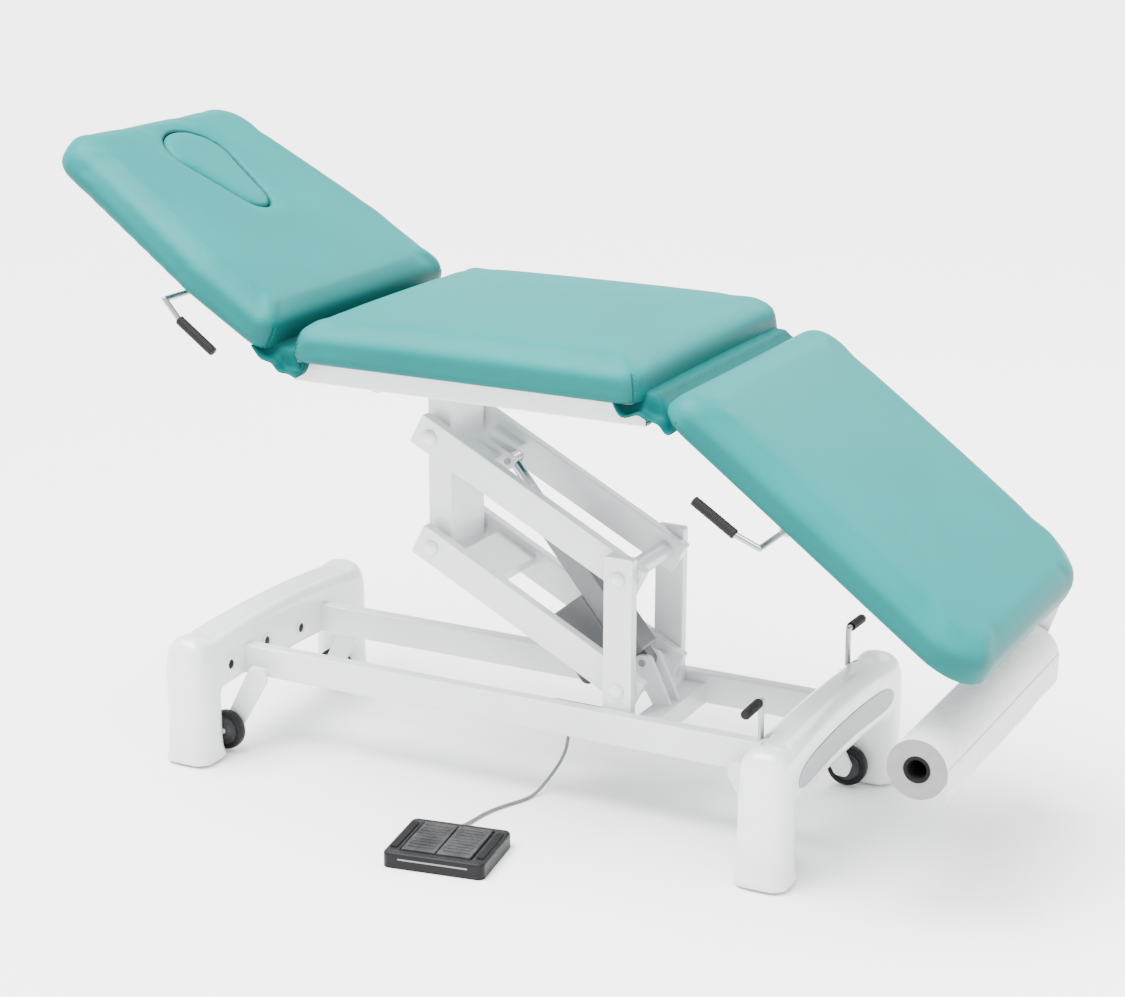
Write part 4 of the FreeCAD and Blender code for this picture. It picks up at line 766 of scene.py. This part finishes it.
def gap_covers():
    """Vinyl aprons stretched over the two hinges, with loose folds hanging beside the frame."""
    rows, columns, half_y = 160, 25, 0.3045
    for label, plan in APRONS.items():
        middle, _ = even_points(plan["middle"], columns)
        side, length = even_points(plan["side"], columns)
        verts = []
        for row in range(rows + 1):
            y = -half_y + 2 * half_y * row / rows
            share = max(0, min(1, (abs(y) - FRAME_SIDE) / FRAME_TURN))
            share = share * share * (3 - 2 * share)
            for i, (a, b) in enumerate(zip(middle, side)):
                spot = a.lerp(b, share)
                loose = math.sin(math.pi * i / (columns - 1))
                ripple = (0.0003 + 0.0008 * share) * math.sin(y * 95 + i * 0.5) * loose
                bulge = 0.003 * share * math.sin(i * 0.9)
                verts.append(Vector((spot.x + bulge * 0.4, y, spot.y + ripple + bulge * loose)))
        cloth = add_mesh("gap_apron_" + label, verts, sheet_faces(rows, columns), MATERIALS["vinyl_shade"])
        thicken(cloth, APRON_THICKNESS)
        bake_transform(cloth)
        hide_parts("gap_cover_" + label)


def paper_end():
    """The loose end of the paper, hanging from the roll's outer side."""
    verts = []
    rows, columns = 48, 16
    drop, half_y = 0.052, 0.3025
    for row in range(rows + 1):
        y = -half_y + 2 * half_y * row / rows
        for i in range(columns + 1):
            down = drop * i / columns
            curl = 0.0016 * math.sin(y * 17 + 0.6) * (down / drop) ** 2
            ragged = 0.0012 * math.sin(y * 41) * (i == columns)
            verts.append(Vector((ROLL_AXIS.x + 0.0503 + curl * 0.5 - 0.25 * down ** 2, y,
                                 ROLL_AXIS.z + 0.006 - down + ragged)))
    tail = add_mesh("paper_end", verts, sheet_faces(rows, columns + 1), MATERIALS["paper"])
    thicken(tail, PAPER_THICKNESS)
    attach(tail, "paper_roll")
    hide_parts("paper_tail")
    core = lathe("roll_core", [(0.0165, -0.304), (0.0222, -0.304), (0.0222, 0.304), (0.0165, 0.304),
                               (0.0160, 0.300), (0.0160, -0.300)],
                 ROLL_AXIS, (0, 1, 0), MATERIALS["card"])
    remove_caps(core)
    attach(core, "paper_roll")


def remove_caps(thing):
    """Close a turned tube by joining its last ring to its first, in place of the two end discs."""
    shape = bmesh.new()
    shape.from_mesh(thing.data)
    caps = [f for f in shape.faces if len(f.verts) > 4]
    edges = [edge for face in caps for edge in face.edges]
    bmesh.ops.delete(shape, geom=caps, context="FACES_ONLY")
    bmesh.ops.bridge_loops(shape, edges=list(dict.fromkeys(edges)))
    bmesh.ops.recalc_face_normals(shape, faces=shape.faces)
    for face in shape.faces:
        face.smooth = True
    shape.to_mesh(thing.data)
    shape.free()


# ---------------------------------------------------------------- moulded end covers

COVER_MID = {"head": -0.6225, "foot": 0.5175}
COLUMN_Y = 0.253
# Height, half depth and half width of a cover's leg, from its flared foot to its rounded top.
COLUMN = [(0.002, 0.0520, 0.0470), (0.011, 0.0515, 0.0465), (0.019, 0.0470, 0.0430), (0.045, 0.0450, 0.0420),
          (0.110, 0.0450, 0.0415), (0.175, 0.0455, 0.0410), (0.208, 0.0440, 0.0390), (0.226, 0.0385, 0.0335),
          (0.238, 0.0280, 0.0240), (0.244, 0.0130, 0.0110)]
BEAM_REACH = 0.258
BEAM_RINGS = 40
RING_POINTS = 44
COLUMN_POWER = 3.2
BEAM_POWER = 3.6
COVER_ROUNDS = 7


def oval(count, half_a, half_b, power):
    """Points round an oval that is squarer the higher its power."""
    points = []
    for k in range(count):
        c, s = math.cos(2 * math.pi * k / count), math.sin(2 * math.pi * k / count)
        points.append((half_a * math.copysign(abs(c) ** (2 / power), c),
                       half_b * math.copysign(abs(s) ** (2 / power), s)))
    return points


def beam_section(y):
    """Half depth, underside and top of a cover's beam at a place along it."""
    share = min(1, abs(y) / COLUMN_Y)
    return 0.0395 + 0.0055 * share ** 2, 0.129 - 0.012 * share ** 5, 0.249 - 0.013 * share ** 2


def cut_box(thing, low, high):
    """Cut a box out of a solid."""
    outline = [Vector((low[0], low[1])), Vector((high[0], low[1])), Vector((high[0], high[1])),
               Vector((low[0], high[1]))]
    carve(thing, outline, low[2], high[2])


def end_covers():
    """Moulded covers that flow from two flared legs into a crowned beam, with a grey inlay outside."""
    for label, end in (("head", -1), ("foot", 1)):
        mid = COVER_MID[label]
        solids = []
        for side in (-1, 1):
            solids.append([[Vector((mid + a, side * COLUMN_Y + b, z))
                            for a, b in oval(RING_POINTS, half_x, half_y, COLUMN_POWER)]
                           for z, half_x, half_y in COLUMN])
        beam = []
        for k in range(BEAM_RINGS + 1):
            y = -BEAM_REACH + 2 * BEAM_REACH * k / BEAM_RINGS
            half_x, low, high = beam_section(y)
            beam.append([Vector((mid + a, y, (low + high) / 2 + b))
                         for a, b in oval(RING_POINTS, half_x, (high - low) / 2, BEAM_POWER)])
        solids.append(beam)
        verts, faces = [], []
        for rings in solids:
            more, loops = loft(rings)
            faces += [tuple(i + len(verts) for i in loop) for loop in loops]
            verts += more
        shell = add_mesh("moulded_cover_" + label, verts, faces, MATERIALS["white_shell"])
        remesh(shell, 0.005)
        relax(shell, COVER_ROUNDS)
        subdivide(shell)
        if label == "foot":
            for side in (-1, 1):
                low_y, high_y = sorted((side * 0.189, side * 0.211))
                cut_box(shell, (0.460, low_y, 0.191), (0.500, high_y, 0.260))
        reskin(shell, MATERIALS["white_shell"])
        shell.data.set_sharp_from_angle(angle=math.radians(40))
        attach(shell, "base")
        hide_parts(f"cover_{label}_end")
        cover_inlay(label, end)


def cover_inlay(label, end):
    """The long grey inlay with round ends on a cover's outer face."""
    rows, columns, reach = 80, 9, 0.226
    verts = []
    for row in range(rows + 1):
        y = -reach * math.cos(math.pi * row / rows)
        half_x, _, high = beam_section(y)
        half_z = 0.0225 * max(0.0001, 1 - (abs(y) / reach) ** 9) ** 0.5
        for i in range(columns):
            z = high - 0.062 + half_z * (2 * i / (columns - 1) - 1)
            verts.append(Vector((COVER_MID[label] + end * (half_x - 0.0004), y, z)))
    inlay = add_mesh("cover_inlay_" + label, verts, sheet_faces(rows, columns), MATERIALS["grey_trim"])
    thicken(inlay, INLAY_THICKNESS)
    soft = inlay.modifiers.new("Bevel", "BEVEL")
    soft.width = 0.0012
    soft.segments = 3
    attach(inlay, "base")
    if label == "head":
        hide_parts("cover_insets")


# ---------------------------------------------------------------- hardware details

GRIP_RADIUS = 0.0086
GROOVE_RADIUS = GRIP_RADIUS * 0.945
RIB_PITCH = 0.004


def grip(name, start, end, body):
    """A finely ribbed black sleeve with rounded ends on a lever."""
    start, end = Vector(start), Vector(end)
    length = (end - start).length
    radius = GRIP_RADIUS
    profile = [(radius * 0.72, 0), (radius * 0.95, 0.0012), (radius, 0.003)]
    for k in range(int((length - 0.010) / RIB_PITCH)):
        at = 0.004 + k * RIB_PITCH
        profile += [(radius, at), (radius, at + RIB_PITCH * 0.55), (GROOVE_RADIUS, at + RIB_PITCH * 0.68),
                    (GROOVE_RADIUS, at + RIB_PITCH * 0.88)]
    profile += [(radius, length - 0.004), (radius * 0.9, length - 0.0012), (radius * 0.6, length)]
    sleeve = lathe(name, profile, start, end - start, MATERIALS["grip"], steps=28)
    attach(sleeve, body)


def grips():
    """Sleeves on the two release levers and the two step levers."""
    y = -0.326
    head, leg = section_place(HEAD_HINGE, HEAD_TILT), section_place(LEG_HINGE, LEG_TILT)
    grip("head_grip", head @ Vector((-0.184, y, -0.0375)), head @ Vector((-0.097, y, -0.0444)), "head_lever")
    grip("leg_grip", leg @ Vector((0.240, y, -0.0367)), leg @ Vector((0.153, y, -0.0424)), "leg_lever")
    for name, side in (("near", -1), ("far", 1)):
        grip("step_grip_" + name, (0.481, side * 0.2110, 0.2976), (0.481, side * 0.2705, 0.2958),
             "caster_lever_" + name)


def bolt_caps():
    """Domed white caps over the pivot bolts."""
    dome = [(0.0135, 0.0), (0.0135, 0.002), (0.0125, 0.0045), (0.0105, 0.0068), (0.007, 0.0084),
            (0.003, 0.0091), (0.0008, 0.0092)]
    arm, arm_tilt, post_x = 0.430, math.radians(27.5), 0.175
    rise = arm * math.sin(arm_tilt)
    left = post_x - arm * math.cos(arm_tilt)
    for side in (-1, 1):
        for level, z in (("low", 0.230), ("high", 0.4345)):
            tag = f"{'n' if side < 0 else 'r'}_{level}"
            cap = lathe("base_cap_" + tag, dome, (post_x, side * 0.1152, z), (0, side, 0),
                        MATERIALS["white_shell"])
            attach(cap, "base")
            cap = lathe("lift_cap_" + tag, dome, (left, side * 0.0946, z + rise), (0, side, 0),
                        MATERIALS["white_shell"])
            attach(cap, "carriage")


WHEEL_RUN = 0.545
WHEEL_MID = (-0.0525, 0.190, 0.042)


def wheels():
    """Caster wheels with a rounded tyre, a recessed hub and an axle nut."""
    for side_name, side in (("near", -1), ("far", 1)):
        for end_name, end in (("head", -1), ("foot", 1)):
            tag = f"{side_name}_{end_name}"
            centre = Vector((WHEEL_MID[0] + end * WHEEL_RUN, side * WHEEL_MID[1], WHEEL_MID[2]))
            tyre = [(0.0262, -0.0085), (0.0300, -0.0112), (0.0338, -0.0116), (0.0362, -0.0092),
                    (0.0374, -0.0045), (0.0375, 0.0), (0.0374, 0.0045), (0.0362, 0.0092), (0.0338, 0.0116),
                    (0.0300, 0.0112), (0.0262, 0.0085)]
            ring = lathe("tyre_" + tag, tyre, centre, (0, 1, 0), MATERIALS["wheel"], steps=56)
            remove_caps(ring)
            hub = lathe("hub_" + tag, [(0.0056, -0.0118), (0.0100, -0.0118), (0.0112, -0.0095),
                                       (0.0205, -0.0065), (0.0225, -0.0080), (0.0262, -0.0085),
                                       (0.0262, 0.0085), (0.0225, 0.0080), (0.0205, 0.0065),
                                       (0.0112, 0.0095), (0.0100, 0.0118), (0.0056, 0.0118)],
                        centre, (0, 1, 0), MATERIALS["hub"], steps=48)
            remove_caps(hub)
            for piece in (ring, hub):
                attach(piece, "caster_wheel_" + tag)
            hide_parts("caster_wheel_" + tag)


def cover_plugs():
    """Black plugs in white rims on the inner face of the head-end cover."""
    for tag, y, z in (("a", -0.195, 0.176), ("b", -0.072, 0.182), ("c", 0.045, 0.172)):
        face_x = COVER_MID["head"] + beam_section(y)[0] - 0.0012
        rim = lathe("plug_rim_" + tag, [(0.0088, 0.0), (0.0140, 0.0), (0.0148, 0.0018), (0.0140, 0.0040),
                                        (0.0102, 0.0044), (0.0090, 0.0028)],
                    (face_x, y, z), (1, 0, 0), MATERIALS["white_shell"], steps=36)
        remove_caps(rim)
        button = lathe("plug_" + tag, [(0.0088, 0.0), (0.0088, 0.0020), (0.0070, 0.0032), (0.0020, 0.0035)],
                       (face_x, y, z), (1, 0, 0), MATERIALS["black_plastic"], steps=28)
        for piece, slot in ((rim, "white_shell"), (button, "black_plastic")):
            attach(piece, "base")


def switch_details():
    """Bright front trim of the foot switch and the treads on its two rockers."""
    turn = Matrix.Translation((0.001, -0.405, 0)) @ Matrix.Rotation(math.radians(9.5), 4, "Z")
    trim = rounded_outline([(-0.062, -0.0755, 0.001), (0.062, -0.0755, 0.001), (0.062, -0.0735, 0.0006),
                            (-0.062, -0.0735, 0.0006)], steps=3)
    verts, faces = prism(trim, 0.0160, 0.0188)
    bar = add_mesh("switch_trim", [turn @ v for v in verts], faces, MATERIALS["bright"], smooth=False)
    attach(bar, "base")
    for body, side in (("foot_pad_down", -1), ("foot_pad_up", 1)):
        verts, faces = [], []
        for y in [-0.044 + row * 0.011 for row in range(9)]:
            faces += bar_faces(len(verts))
            for x in sorted((side * 0.008, side * 0.055)):
                for dy, z in ((-0.0022, 0.0306), (-0.0012, 0.0322), (0.0012, 0.0322), (0.0022, 0.0306)):
                    verts.append(turn @ Vector((x, y + dy, z)))
        tread = add_mesh("tread_" + body, verts, faces, MATERIALS["switch_pad"], smooth=False)
        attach(tread, body)
        for slot in NODES[body].material_slots:
            slot.link = "OBJECT"
            slot.material = MATERIALS["switch_pad"]
    relief = lathe("cable_relief", [(0.0031, 0.0), (0.0036, 0.0), (0.0044, 0.010), (0.0056, 0.020),
                                    (0.0056, 0.022), (0.0031, 0.022)],
                   (0.057, -0.065, 0.106), (0.003, 0, 1), MATERIALS["black_plastic"], steps=24)
    remove_caps(relief)
    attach(relief, "base")
    return relief


# ---------------------------------------------------------------- studio

FLOOR_REACH = 60
FLOOR_Z = -0.0005
WORLD_STRENGTH = 1.7
LAMP_SIZE = 2.0
# Each lamp's name, place, the point it faces, and its power in watts.
LAMPS = (("key", (-1.2, -2.2, 4.0), (0, 0, 0.6), 120), ("fill", (3.4, -1.8, 1.8), (0, 0, 0.5), 50),
         ("back", (0.6, 3.2, 3.2), (0, 0, 0.6), 60))


def add_light(name, kind, place, direction, energy):
    data = bpy.data.lights.new(name, kind)
    data.energy = energy
    light = bpy.data.objects.new(name, data)
    light.location = place
    light.rotation_euler = Vector(direction).to_track_quat("-Z", "Y").to_euler()
    bpy.context.collection.objects.link(light)
    return data


def studio():
    """A wide pale floor, a white world, three soft lamps and a broad overhead light."""
    corners = ((-1, -1), (1, -1), (1, 1), (-1, 1))
    mesh = bpy.data.meshes.new("studio_floor")
    mesh.from_pydata([(x * FLOOR_REACH, y * FLOOR_REACH, FLOOR_Z) for x, y in corners], [], [(0, 1, 2, 3)])
    mesh.materials.append(MATERIALS["floor"])
    floor = bpy.data.objects.new("studio_floor", mesh)
    bpy.context.collection.objects.link(floor)
    world = bpy.data.worlds.new("studio")
    world.use_nodes = True
    background = world.node_tree.nodes["Background"]
    background.inputs["Color"].default_value = (1, 1, 1, 1)
    background.inputs["Strength"].default_value = WORLD_STRENGTH
    bpy.context.scene.world = world
    for name, place, target, power in LAMPS:
        add_light(name, "AREA", place, Vector(target) - Vector(place), power).size = LAMP_SIZE
    add_light("overhead", "SUN", (0, 0, 0), (0.25, 0.15, -1), 10.5).angle = math.radians(50)


def build():
    add_camera()
    route = [Vector(point) / 1000 for point in CABLE_ROUTE]
    cable = add_curve("switch_cable", route, CABLE_RADIUS, MATERIALS["cable"], kind="NURBS")
    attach(cable, "base")
    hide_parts("foot_cable")
    paint_frame()
    upholster()
    gap_covers()
    paper_end()
    grips()
    bolt_caps()
    wheels()
    end_covers()
    cover_plugs()
    relief = switch_details()
    studio()


build()
